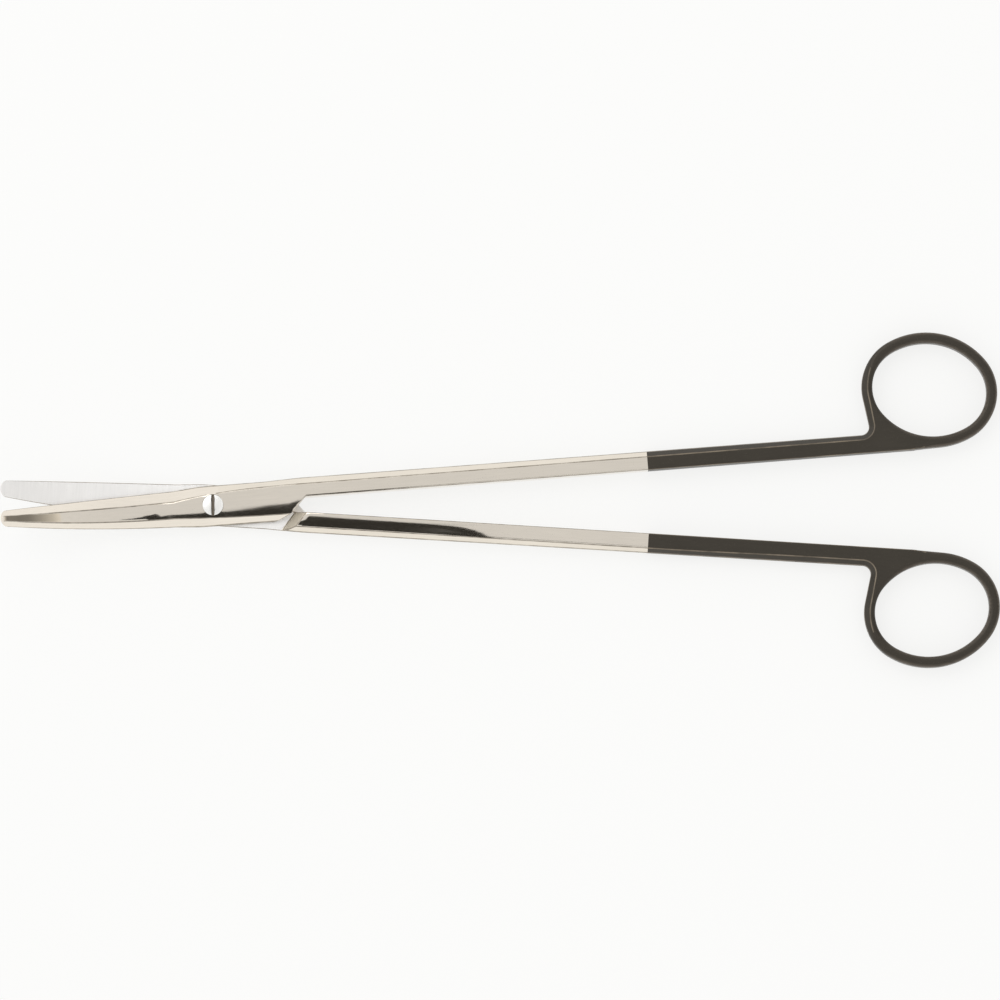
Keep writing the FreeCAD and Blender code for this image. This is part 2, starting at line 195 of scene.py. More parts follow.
def turned(profile: Sequence[Point], finish: Finish, count: int = 72) -> Skin:
    """Make a shape of revolution about the z axis.

    Args:
        profile: Radius and level of each ring, the first and last of them closed by a disc.
        finish: Surface of its faces.
        count: Number of segments round the axis.

    Returns:
        The closed shape.
    """
    skin = Skin()
    angles = [math.tau * i / count for i in range(count + 1)]
    rings = [[(radius * math.cos(a), radius * math.sin(a), level) for a in angles]
             for radius, level in profile]
    skin.strips(rings, finish)
    for ring in (rings[0], rings[-1]):
        skin.face(ring[:-1], finish)
    return skin


def prism(plan: Sequence[Point], low: float, high: float, finish: Finish) -> Skin:
    """Make an upright block.

    Args:
        plan: Corners (x, y) of its plan.
        low: Level of its underside.
        high: Level of its top.
        finish: Surface of its faces.

    Returns:
        The closed shape.
    """
    skin = Skin()
    ends = [[(x, y, z) for x, y in plan] for z in (low, high)]
    skin.strips([end + end[:1] for end in ends], finish)
    for end in ends:
        skin.face(end, finish)
    return skin


def ease_edges(thing: Object, width: float, weight_of: Callable[[Vector], float],
               least_angle: float = 26) -> None:
    """Round the sharp edges of a piece a little and mark the faces that this makes.

    Args:
        thing: The piece.
        width: Width of the rounding in millimetres.
        weight_of: Gives the share of the width at a point in millimetres, 0 for a sharp edge.
        least_angle: Edges that turn by more than this many degrees are rounded.
    """
    work = bmesh.new()
    work.from_mesh(thing.data)
    weights = work.edges.layers.float.new("bevel_weight_edge")
    for edge in work.edges:
        if len(edge.link_faces) == 2 and edge.calc_face_angle() > math.radians(least_angle):
            edge[weights] = weight_of((edge.verts[0].co + edge.verts[1].co) / (2 * MM))
            edge.smooth = edge[weights] > 0
    for face in work.faces:
        face.smooth = True
    work.to_mesh(thing.data)
    work.free()
    rounding = thing.modifiers.new("rounding", "BEVEL")
    rounding.limit_method, rounding.width = "WEIGHT", width * MM
    rounding.segments, rounding.material = 2, Finish.EASED.value
    rounding.use_clamp_overlap, rounding.miter_outer = False, "MITER_SHARP"
    shading = thing.modifiers.new("shading", "WEIGHTED_NORMAL")
    shading.weight, shading.keep_sharp = 80, True
    while len(thing.data.materials) < len(Finish):
        thing.data.materials.append(None)
    bpy.context.view_layer.update()
    settle(thing)


def mark_rims(thing: Object, start: float, coat_line: float) -> None:
    """Give rounded edges the finish of their neighbours and a mark that materials read.

    Args:
        thing: The piece.
        start: Own x in millimetres from which the edges are marked.
        coat_line: Own x in millimetres where the coating begins.
    """
    data = thing.data
    rim = data.attributes.new("rim", "FLOAT", "FACE")
    for face in data.polygons:
        if face.material_index == Finish.EASED.value:
            coated = face.center.x > coat_line * MM
            face.material_index = (Finish.COATED if coated else Finish.POLISHED).value
            rim.data[face.index].value = float(face.center.x > start * MM)


@dataclass(frozen=True)
class Crown:
    """Slight fullness that polishing leaves on a flat facet.

    near and far are the degrees by which the facet leans at its first and its last edge, positive
    toward the last edge.
    """

    near: float
    far: float

    def drop(self, width: float, share: float) -> float:
        """Return how far the facet lies under its highest line.

        Args:
            width: Width of the facet.
            share: Place across it, from 0 to 1.

        Returns:
            The depth in the unit of the width.
        """
        spread = self.far - self.near
        if not spread:
            return 0.0
        top = min(max(-self.near / spread, 0.0), 1.0)
        fall = [width * math.radians(self.near * t + spread * t * t / 2) for t in (share, top)]
        return fall[0] - fall[1]

    def toward(self, other: Crown, share: float) -> Crown:
        """Return the crown at a share of the way to another one."""
        return Crown(mix(self.near, other.near, share), mix(self.far, other.far, share))


@dataclass(frozen=True)
class RimStation:
    """One place on the outline of the neck and ring, with the shape of its edge."""

    x: float
    y: float
    nx: float
    ny: float
    wide: float
    land: float
    top: float
    roundness: float

    STEPS = 5

    def profile(self) -> list[Point]:
        """Return the edge's points from the outer side's crest to the inner side's crest.

        Returns:
            The points (x, y, z).
        """
        upper = []
        for i in range(self.STEPS + 1):
            share = i / self.STEPS
            arc = math.pi / 2 * share
            inset = self.wide * mix(share, 1 - math.cos(arc), self.roundness)
            level = mix(self.land, self.top, mix(share, math.sin(arc), self.roundness))
            upper.append((self.x + self.nx * inset, self.y + self.ny * inset, level))
        return upper[::-1] + [(x, y, -z) for x, y, z in upper]


@dataclass
class Forging:
    """One forged half from the tip of its blade to its finger ring, in millimetres."""

    bend: int

    # joint plate
    joint_half: float = 2.5
    lap_gap: float = 0.06
    plate_own: float = 4.6
    plate_far: float = 4.8
    plate_flank: float = 16.5
    plate_corner: float = 21.4
    nest_run: float = 2.2
    shoulder_low: float = 18.6
    shoulder_high: float = 21.5

    # blade, root and tip
    bend_start: float = 9.0
    bend_radius: float = 79.0
    bend_angle: float = 29.75
    cut: Point = (3.95, 1.6, 1.1)
    spine: Point = (4.35, 1.9, 1.15)
    ridge_line: Point = (1.3, 0.33, 0.0)
    back_line: Point = (2.5, 0.8, 1.7)
    crest: Point = (2.5, 1.4, 0.0)
    cut_edge: Point = (0.75, 0.45, 0.0)
    spine_edge: Point = (0.95, 0.6, 0.0)
    tip_round: float = 2.2

    # shank
    ridge_shank: float = 3.3
    inner_ridge_shank: float = 3.75
    back_joint: float = 3.4
    shank_in: float = 0.3
    shank_out: float = 4.9
    shank_neck: float = 4.6
    shank_land: float = 0.62
    handle_half: float = 2.0
    taper: Point = (26.0, 149.0)
    coat_line: float = 99.85

    # ring
    ring_centre: Point = (165.55, 13.75)
    hole_long: float = 13.12
    hole_short: float = 10.67
    hole_end: float = 9.27
    ring_turn: float = 13.9
    ring_wall: float = 2.46
    ring_half: float = 2.1
    ring_round: float = 0.9
    neck_x: float = 151.4
    neck_round: float = 1.9
    neck_bevel: float = 1.3
    neck_span: Point = (5.0, 12.0)
    return_x: float = 160.0

    # fullness of the facets
    blade_crown: Crown = Crown(-2.4, 2.4)
    joint_crown: Crown = Crown(-3.8, 4.0)
    shank_crown: Crown = Crown(-0.8, 0.7)
    inner_crown: Crown = Crown(-5.5, 0.7)
    inner_rear_crown: Crown = Crown(-0.6, 0.3)

    # spans of x over which one shape eases into the next
    land_span: Point = (-7.0, -1.0)
    widening: Point = (12.0, 20.0)
    back_end: float = 18.0
    crown_span: Point = (16.0, 21.5)
    inner_crown_span: Point = (52.0, 66.0)
    crest_span: Point = (104.0, 140.0)
    flat_span: Point = (120.0, 148.0)

    # spans of the angle round the ring, in degrees
    ring_rise: Point = (-76.0, -45.0)
    ring_fall: Point = (116.0, 146.0)
    rounding: Point = (143.0, 187.0)
    join_span: Point = (175.0, 235.0)

    # how finely the surface is divided; the leaning stations of the heel are those whose rows
    # end on the plate's leaning end
    BEVEL_STRIPS = 5
    FACET_STRIPS = 8
    HEEL_STATIONS = (13.0, 15.0, 17.0, 19.0, 20.5, 22.0, 26.0)
    HEEL_LEANING = range(2, 6)
    BLADE_ROWS = 32
    PLATE_ROWS = 20
    BARE_ROWS = 36
    COATED_ROWS = 8
    CORNER_ROWS = 8
    FLANK_ROWS = 5
    RING_ROWS = 84
    WEB_ROWS = 30
    RETURN_ROWS = 6

    def half_height(self, x: float) -> float:
        """Return the shank's half thickness at x."""
        start, end = self.taper
        return mix(self.joint_half, self.handle_half, min(max((x - start) / (end - start), 0), 1))

    def own_edge(self, x: float) -> float:
        """Return the distance of the own outer edge from the centre plane at x.

        Args:
            x: Place along the half.

        Returns:
            The distance.
        """
        start, end = self.widening
        if x < start:
            return self.plate_own - self.flare(x, self.plate_own - self.cut[0])
        if x < end:
            return mix(self.plate_own, self.shank_out, (x - start) / (end - start))
        return mix(self.shank_out, self.shank_neck, (x - end) / (self.neck_x - end))

    def far_edge(self, x: float) -> float:
        """Return the distance of the plate's other edge from the centre plane at x."""
        return self.plate_far - self.flare(x, self.plate_far - self.spine[0])

    def flare(self, x: float, rise: float, corner: float = -3.0, reach: float = 1.3) -> float:
        """Return how much narrower the plate still is at x, near the blade's root.

        Args:
            x: Place along the half.
            rise: How much narrower it is where the blade starts.
            corner: Where the plate reaches its full width.
            reach: Half length of the soft turn there.

        Returns:
            The difference to the full width.
        """
        slope, ahead = rise / (corner + self.bend_start), corner - x
        if ahead <= -reach:
            return 0.0
        return slope * (ahead if ahead >= reach else (ahead + reach) ** 2 / (4 * reach))

    def ridge(self, x: float) -> float:
        """Return the place of the crest line on the own side at x.

        Args:
            x: Place along the half.

        Returns:
            Its y.
        """
        end = self.widening[1]
        if x < end:
            share = ((end - x) / (end + self.bend_start)) ** 2.5
            return mix(self.ridge_shank, self.ridge_line[0], share)
        slope = (self.joint_half - self.shank_land) / (self.shank_out - self.ridge_shank)
        return self.own_edge(x) - (self.half_height(x) - self.shank_land) / slope

    def inner_ridge(self, x: float) -> float:
        """Return the place of the inner side's crest line at x, behind the shoulder.

        Args:
            x: Place along the half.

        Returns:
            Its y.
        """
        slope = (self.joint_half - self.shank_land) / (self.shank_out - self.inner_ridge_shank)
        own = self.own_edge(x) - (self.half_height(x) - self.shank_land) / slope
        return mix(own, self.ridge(x), ease(x, *self.crest_span))

    def back(self, x: float) -> float:
        """Return the place of the crest line on the other side of the joint plate at x."""
        share = max((self.back_end - x) / (self.back_end + self.bend_start), 0) ** 1.8
        return mix(self.back_joint, self.back_line[0], share)

    def own_land(self, x: float) -> float:
        """Return the height of the land along the own outer edge at x."""
        return mix(self.cut_edge[0], self.shank_land, ease(x, *self.land_span))

    def outer_crown(self, x: float) -> Crown:
        """Return the fullness of the outer facet at x.

        Args:
            x: Place along the half.

        Returns:
            The fullness.
        """
        flat = Crown(0.0, 0.0)
        crown = self.joint_crown.toward(self.shank_crown, ease(x, *self.crown_span))
        return crown.toward(flat, ease(x, *self.flat_span))

    def facet(self, start: float, end: float, level: float, crown: Crown) -> list[Point]:
        """Return the points (y, z) across a full facet whose highest line lies at a level.

        Args:
            start: Place y of its first edge.
            end: Place y of its last edge.
            level: Height of its highest line.
            crown: Its fullness.

        Returns:
            The points, both edges included.
        """
        shares = [i / self.FACET_STRIPS for i in range(self.FACET_STRIPS + 1)]
        width = abs(end - start)
        return [(mix(start, end, t), level - crown.drop(width, t)) for t in shares]

    def over(self, own: Point, far: Point, ridge: float, back: float, level: float,
             crown: Crown) -> list[Point]:
        """Return the outer side's section (y, z) from one mating edge to the other.

        Args:
            own: Top of the own side's land.
            far: Top of the other side's land.
            ridge: Crest line on the own side.
            back: Crest line on the other side.
            level: Height of the facet between the crest lines.
            crown: Fullness of that facet.

        Returns:
            The points of the section.
        """
        facet = self.facet(ridge, back, level, crown)
        return ([(own[0], self.lap_gap)] + ladder(own, facet[0], self.BEVEL_STRIPS)[:-1]
                + facet + ladder(facet[-1], far, self.BEVEL_STRIPS)[1:]
                + [(far[0], self.lap_gap)])

    def joint_section(self, x: float) -> list[Point]:
        """Return the points (x, y, z) of the joint plate's section at x.

        Args:
            x: Place along the half.

        Returns:
            The points.
        """
        section = self.over(
            (self.own_edge(x), self.own_land(x)), (-self.far_edge(x), self.spine_edge[0]),
            self.ridge(x), -self.back(x), self.joint_half, self.outer_crown(x))
        return [(x, y, z) for y, z in section]

    def blade_section(self, u: float) -> list[Point]:
        """Return the points (x, y, z) of the blade's section at a share u of its length.

        Args:
            u: Share of the blade's length, from root to tip.

        Returns:
            The points.
        """
        def size(triple: Point) -> float:
            """Return a size that runs from root to tip with some fullness."""
            return mix(triple[0], triple[1], u) + triple[2] * u * (1 - u)

        crown = self.joint_crown.toward(self.blade_crown, u)
        section = self.over(
            (size(self.cut), size(self.cut_edge)), (-size(self.spine), size(self.spine_edge)),
            size(self.ridge_line), -size(self.back_line), size(self.crest), crown)
        angle = math.radians(self.bend_angle) * u
        x0 = -self.bend_start - self.bend_radius * math.sin(angle)
        z0 = self.bend * self.bend_radius * (1 - math.cos(angle))
        return [(x0 + self.bend * n * math.sin(angle), y, z0 + n * math.cos(angle))
                for y, n in section]

    def tip_x(self) -> float:
        """Return x of the blade's very end."""
        return -self.bend_start - self.bend_radius * math.sin(math.radians(self.bend_angle))

    def tip_block(self, steps: int = 24, reach: float = 8, height: float = 30) -> Skin:
        """Return the block that cuts the blade's end round.

        Args:
            steps: Number of flats in the round cut.
            reach: How far the block stands out in front and on both sides.
            height: How far it stands out above and below.

        Returns:
            The closed shape.
        """
        x, y = self.tip_x() + self.tip_round, (self.cut[1] - self.spine[1]) / 2
        turns = (math.pi / 2 + math.pi * i / steps for i in range(steps + 1))
        plan = [(x + self.tip_round * math.cos(a), y + self.tip_round * math.sin(a))
                for a in turns]
        plan += [(x, y - reach), (x - reach, y - reach), (x - reach, y + reach), (x, y + reach)]
        return prism(plan, -height, height, Finish.POLISHED)

    def build_blade(self, skin: Skin) -> None:
        """Add the blade and the joint plate up to where its rear end starts.

        Args:
            skin: Where the faces go.
        """
        rows = [self.blade_section(1 - i / self.BLADE_ROWS) for i in range(self.BLADE_ROWS + 1)]
        shares = (i / self.PLATE_ROWS for i in range(1, self.PLATE_ROWS + 1))
        end = self.HEEL_STATIONS[0]
        rows += [self.joint_section(mix(-self.bend_start, end, share)) for share in shares]
        skin.strips(rows, Finish.POLISHED)
        skin.strips([(row[0], row[-1]) for row in rows], Finish.GROUND)
        skin.face(rows[0], Finish.POLISHED)

    def lean_x(self, y: float, z: float) -> float:
        """Return x on the plate's leaning rear end at y and z.

        Args:
            y: Place across the half.
            z: Level.

        Returns:
            The place x.
        """
        run = self.plate_corner - self.plate_flank
        rise = self.shank_in + self.plate_far
        setback = self.nest_run * (self.joint_half - z) / self.joint_half
        return (self.plate_flank + run * (y + self.plate_far) / rise
                - setback * math.hypot(run, rise) / rise)

    def shoulder_x(self, y: float, z: float) -> float:
        """Return x on the shank's sloped shoulder at y and z.

        Args:
            y: Place across the half.
            z: Level.

        Returns:
            The place x.
        """
        run = self.shoulder_high - self.shoulder_low
        rise = self.shank_out - self.shank_in
        setback = self.nest_run * (z + self.joint_half) / self.joint_half
        return (self.shoulder_high - run * (y - self.shank_in) / rise
                - setback * math.hypot(run, rise) / rise)

    def on_shoulder(self, z: float) -> Point:
        """Return the point of the shoulder on the own outer edge at z."""
        y = self.own_edge(self.shoulder_x(self.plate_own, z))
        return (self.shoulder_x(y, z), y, z)

    def heel_outer(self, start: float) -> tuple[list[list[Point]], list[list[Point]]]:
        """Work out the outer side between the joint plate and the straight shank.

        Args:
            start: Where the plate's sections end.

        Returns:
            Rows across the facet, skewed so that they end along the diagonal, and the rows of
            the bevel beside it.
        """
        back, low, level = -self.back(self.back_end), self.shank_in, self.joint_half
        steps = len(self.HEEL_LEANING) - 1
        ends = [-self.back(start), (back - self.back(start)) / 2]
        ends += [mix(back, low, i / steps) for i in range(steps + 1)] + [low]
        facets, bevels = [], []
        for i, (x, far_y) in enumerate(zip(self.HEEL_STATIONS, ends)):
            leans = i in self.HEEL_LEANING
            far_x = self.lean_x(far_y, level) if leans else x
            crown = self.outer_crown((x + far_x) / 2)
            row = self.facet(self.ridge(x), far_y, level, crown)
            if leans:
                far_x = self.lean_x(*row[-1])
            count = len(row) - 1
            facets.append([(mix(x, far_x, k / count), *point) for k, point in enumerate(row)])
            land = (self.own_edge(x), self.own_land(x))
            bevels.append([(x, *point) for point in ladder(land, row[0], self.BEVEL_STRIPS)])
        return facets, bevels

    def heel_inner(self, land: Sequence[Point]) -> tuple[list[list[Point]], list[list[Point]]]:
        """Work out the inner side from the sloped shoulder to the straight shank.

        Args:
            land: Points of the own edge's land, the first of them on the shoulder.

        Returns:
            Rows across the facet and rows of the bevel beside it, the first of each lying on
            the shoulder.
        """
        low, level, end = self.shank_in, self.joint_half, self.taper[0]
        row = self.facet(self.inner_ridge(self.shoulder_high), low, level, self.inner_crown)
        facets = [[(self.shoulder_x(y, -z), y, -z) for y, z in row]]
        bevels = [[(self.shoulder_x(y, z), y, z) for y, z in
                   ladder(land[0][1:], facets[0][0][1:], self.BEVEL_STRIPS)]]
        for i, (x, y, z) in enumerate(land[1:], start=1):
            share = i / (len(land) - 1)
            near, far = (mix(facets[0][k][0], end, share) for k in (0, -1))
            row = self.facet(self.inner_ridge(near), low, level, self.inner_crown)
            count = len(row) - 1
            facets.append([(mix(near, far, k / count), ry, -rz) for k, (ry, rz) in enumerate(row)])
            bevels.append(ladder((x, y, z), facets[-1][0], self.BEVEL_STRIPS))
        return facets, bevels

    def build_heel(self, skin: Skin, start: float) -> None:
        """Add the part between the joint plate, which ends at start, and the straight shank.

        Args:
            skin: Where the faces go.
            start: Where the plate's sections end.
        """
        gap, low = self.lap_gap, self.shank_in
        lean_start, lean_end = self.HEEL_LEANING[0], self.HEEL_LEANING[-1]
        first = self.joint_section(start)
        facets, bevels = self.heel_outer(start)

        # the other side's bevel and land run out on the leaning end
        far_row = first[1 + self.BEVEL_STRIPS + self.FACET_STRIPS:]
        lean_row = [(self.lean_x(y, z), y, z) for y, z in ladder(
            facets[lean_start][-1][1:], (-self.plate_far, self.spine_edge[0]),
            self.BEVEL_STRIPS)]
        foot = (self.lean_x(-self.plate_far, gap), -self.plate_far, gap)
        lean_row.append(foot)
        half_row = [tuple((a + b) / 2 for a, b in zip(p, q)) for p, q in zip(far_row, lean_row)]
        facets[lean_start - 1][-1] = half_row[0]
        skin.strips([far_row, half_row, lean_row], Finish.POLISHED)
        skin.strips(facets, Finish.POLISHED)
        skin.strips(bevels, Finish.POLISHED)

        # the own land reaches down to the mating plane, then to the inner side's bevel
        lands = [first[0], self.on_shoulder(gap), self.on_shoulder(-self.shank_land)]
        lands += [(x, self.own_edge(x), -self.own_land(x))
                  for x in self.HEEL_STATIONS[len(lands):]]
        skin.strips([(bevel[0], land) for bevel, land in zip(bevels, lands)], Finish.POLISHED)
        inner_facets, inner_bevels = self.heel_inner(lands[2:])
        skin.strips(inner_facets, Finish.POLISHED)
        skin.strips(inner_bevels, Finish.POLISHED)

        # flat faces: shoulder, mating face, leaning end and the inner wall of the shank
        crossing = (self.shoulder_x(low, gap), low, gap)
        inner_foot = (self.lean_x(low, gap), low, gap)
        skin.face([crossing, lands[1], *inner_bevels[0], *inner_facets[0][1:]],
                  Finish.SHOULDER)
        skin.face([first[0], lands[1], crossing, inner_foot, foot, half_row[-1], first[-1]],
                  Finish.GROUND)
        skin.face([*lean_row[::-1], *(row[-1] for row in facets[lean_start + 1:lean_end + 1]),
                   inner_foot], Finish.GROUND)
        skin.face([inner_foot, facets[lean_end][-1], facets[lean_end + 1][-1],
                   *(row[-1] for row in inner_facets[::-1]), crossing], Finish.POLISHED)

    def shank_section(self, x: float) -> dict[str, list[Point]]:
        """Return the bevels and facets of the shank's section at x, from the land inward.

        Args:
            x: Place along the half.

        Returns:
            Points from the land inward, by the stretch's name.
        """
        level, edge = self.half_height(x), self.own_edge(x)
        flat = Crown(0.0, 0.0)
        inner = self.inner_crown.toward(self.inner_rear_crown, ease(x, *self.inner_crown_span))
        inner = inner.toward(flat, ease(x, *self.flat_span))
        parts = {}
        for name, side, crest, crown in (
                ("outer", 1, self.ridge(x), self.outer_crown(x)),
                ("inner", -1, self.inner_ridge(x), inner)):
            facet = self.facet(crest, self.shank_in, level, crown)
            bevel = ladder((edge, self.shank_land), facet[0], self.BEVEL_STRIPS)
            parts[name + "_facet"] = [(x, y, side * z) for y, z in facet]
            parts[name + "_bevel"] = [(x, y, side * z) for y, z in bevel]
        return parts

    def build_shank(self, skin: Skin) -> None:
        """Add the straight shank up to the neck of the ring.

        Args:
            skin: Where the faces go.
        """
        start, end = self.taper
        spans = ((start, self.coat_line, self.BARE_ROWS, Finish.POLISHED),
                 (self.coat_line, end, self.COATED_ROWS, Finish.COATED))
        for first, last, count, finish in spans:
            rows = [self.shank_section(mix(first, last, i / count)) for i in range(count + 1)]
            loops = [row["outer_facet"][::-1] + row["outer_bevel"][::-1][1:]
                     + row["inner_bevel"] + row["inner_facet"][1:] + row["outer_facet"][-1:]
                     for row in rows]
            skin.strips(loops, finish)

    def ring_point(self, angle: float, offset: float) -> Point:
        """Return a point beside the middle line of the ring and the outward direction there.

        Args:
            angle: Outward direction in the ring's own frame, from its long axis.
            offset: Distance outward from that line.

        Returns:
            x, y of the point and nx, ny of the outward direction.
        """
        half_wall = self.ring_wall / 2
        across, up, end = (size + half_wall for size in
                           (self.hole_long, self.hole_short, self.hole_end))
        reach = across - end
        beyond = (reach ** 2 - (up - end) ** 2) / (2 * (up - end))
        nx, ny = math.cos(angle), math.sin(angle)
        if abs(ny) * reach < abs(nx) * beyond:
            px, py = math.copysign(reach, nx) + end * nx, end * ny
        else:
            px, py = (up + beyond) * nx, (up + beyond) * ny - math.copysign(beyond, ny)
        px, py = px + nx * offset, py + ny * offset
        turn = math.radians(-self.ring_turn)
        c, s = math.cos(turn), math.sin(turn)
        x0, y0 = self.ring_centre
        return (x0 + c * px - s * py, y0 + s * px + c * py, c * nx - s * ny, s * nx + c * ny)

    def ring_level(self, angle: float) -> float:
        """Return the ring's half height at an angle between the foot and the join.

        Args:
            angle: Outward direction in the ring's own frame.

        Returns:
            The half height.
        """
        degrees = math.degrees(angle)
        free = ease(degrees, *self.ring_rise) * (1 - ease(degrees, *self.ring_fall))
        return mix(self.handle_half, self.ring_half, free)

    def join_angle(self, halvings: int = 40) -> float:
        """Return the ring's angle where the neck's straight flank runs into it.

        Args:
            halvings: How often the span that holds it is halved.

        Returns:
            The angle in radians.
        """
        def miss(angle: float) -> float:
            """Return how far the tangent there passes beside the neck's corner."""
            x, y, nx, ny = self.ring_point(angle, self.ring_wall / 2)
            return (self.neck_x - x) * nx + (self.shank_neck - y) * ny

        low, high = (math.radians(angle) for angle in self.join_span)
        for _ in range(halvings):
            middle = (low + high) / 2
            if miss(low) * miss(middle) <= 0:
                high = middle
            else:
                low = middle
        return (low + high) / 2

    def outline(self) -> tuple[list[RimStation], list[float]]:
        """Return the rim's stations from the shank's end round the ring to the inner face.

        Returns:
            The stations, and the ring angles of those that lie on the ring.
        """
        bevel = self.own_edge(self.taper[1]) - self.ridge(self.taper[1])
        half_wall = self.ring_wall / 2
        join = self.join_angle()
        foot = math.radians(self.ring_turn - 90)
        angles = [mix(join, foot, i / self.RING_ROWS) for i in range(self.RING_ROWS + 1)]
        end_x, end_y, end_nx, end_ny = self.ring_point(join, half_wall)
        corner = Vector((self.neck_x, self.shank_neck))
        arrive = Vector((1.0, 0.0))
        leave = (Vector((end_x, end_y)) - corner).normalized()
        turn = arrive.angle(leave)
        reach = self.neck_round * math.tan(turn / 2)
        centre = Vector((corner.x - reach, corner.y + self.neck_round))

        stations = []

        def station(x: float, y: float, nx: float, ny: float, angle: float | None) -> None:
            """Add one place, its edge shaped by how far round the ring it lies.

            Args:
                x: Its place.
                y: Its place.
                nx: Inward direction there.
                ny: Inward direction there.
                angle: Its angle on the ring, or nothing on the neck.
            """
            roundness, level = 0.0, self.handle_half
            if angle is not None:
                roundness = 1 - ease(math.degrees(angle), *self.rounding)
                level = self.ring_level(angle)
            wide = mix(mix(bevel, self.neck_bevel, ease(y, *self.neck_span)),
                       self.ring_round, roundness)
            land = mix(self.shank_land, self.ring_half - self.ring_round, roundness)
            stations.append(RimStation(x, y, nx, ny, wide, land, level, roundness))

        station(self.taper[1], self.own_edge(self.taper[1]), 0.0, -1.0, None)
        for i in range(self.CORNER_ROWS + 1):
            a = -math.pi / 2 + turn * i / self.CORNER_ROWS
            out = Vector((math.cos(a), math.sin(a)))
            spot = centre + out * self.neck_round
            station(spot.x, spot.y, out.x, out.y, None)
        start = Vector((stations[-1].x, stations[-1].y))
        for i in range(1, self.FLANK_ROWS):
            spot = start.lerp(Vector((end_x, end_y)), i / self.FLANK_ROWS)
            station(spot.x, spot.y, -end_nx, -end_ny, None)
        for angle in angles:
            x, y, nx, ny = self.ring_point(angle, half_wall)
            station(x, y, -nx, -ny, angle)
        last = stations[-1]
        for i in range(1, self.RETURN_ROWS + 1):
            t = i / self.RETURN_ROWS
            stations.append(RimStation(
                mix(last.x, self.return_x, t), mix(last.y, self.shank_in, t), 0.0, 1.0,
                mix(self.ring_round, 0.0, ease(t, 0, 1)), last.land, self.handle_half, 1.0))
        return stations, angles

    def build_ring(self, skin: Skin) -> None:
        """Add the neck and the finger ring.

        Args:
            skin: Where the faces go.
        """
        coat = Finish.COATED
        stations, angles = self.outline()
        rows = [station.profile() for station in stations]
        skin.strips(rows, coat)
        on_ring = len(rows) - self.RETURN_ROWS - len(angles)

        def hole_row(angle: float, level: float) -> list[Point]:
            """Return the hole's rounded edge at one angle, from crest to crest.

            Args:
                angle: Outward direction in the ring's own frame.
                level: Half height of the crests.

            Returns:
                The points (x, y, z).
            """
            x, y, nx, ny = self.ring_point(angle, -self.ring_wall / 2)
            land = self.ring_half - self.ring_round
            return RimStation(x, y, nx, ny, self.ring_round, land, level, 1.0).profile()

        free = [hole_row(angle, self.ring_level(angle)) for angle in angles]
        low, high = angles[0], angles[-1] + math.tau
        webbed = [hole_row(mix(low, high, i / self.WEB_ROWS), self.handle_half)
                  for i in range(self.WEB_ROWS + 1)]
        skin.strips(free, coat)
        skin.strips(webbed, coat)
        near = self.shank_section(self.taper[1])
        for end in (0, -1):
            crests = [row[end] for row in rows]
            skin.strips([(crest, hole[end]) for crest, hole in
                         zip(crests[on_ring:], free)], coat)
            facet = near["inner_facet" if end else "outer_facet"]
            web = (crests[:on_ring + 1] + [row[end] for row in webbed]
                   + crests[on_ring + len(angles) - 1:] + facet[:0:-1])
            skin.face(web, coat)
        skin.face([near["outer_facet"][-1], *rows[-1], near["inner_facet"][-1]], coat)

    def skin(self) -> Skin:
        """Return the whole forging as one closed skin, without its bores.

        Returns:
            The skin.
        """
        skin = Skin()
        self.build_blade(skin)
        self.build_heel(skin, self.HEEL_STATIONS[0])
        self.build_shank(skin)
        self.build_ring(skin)
        return skin


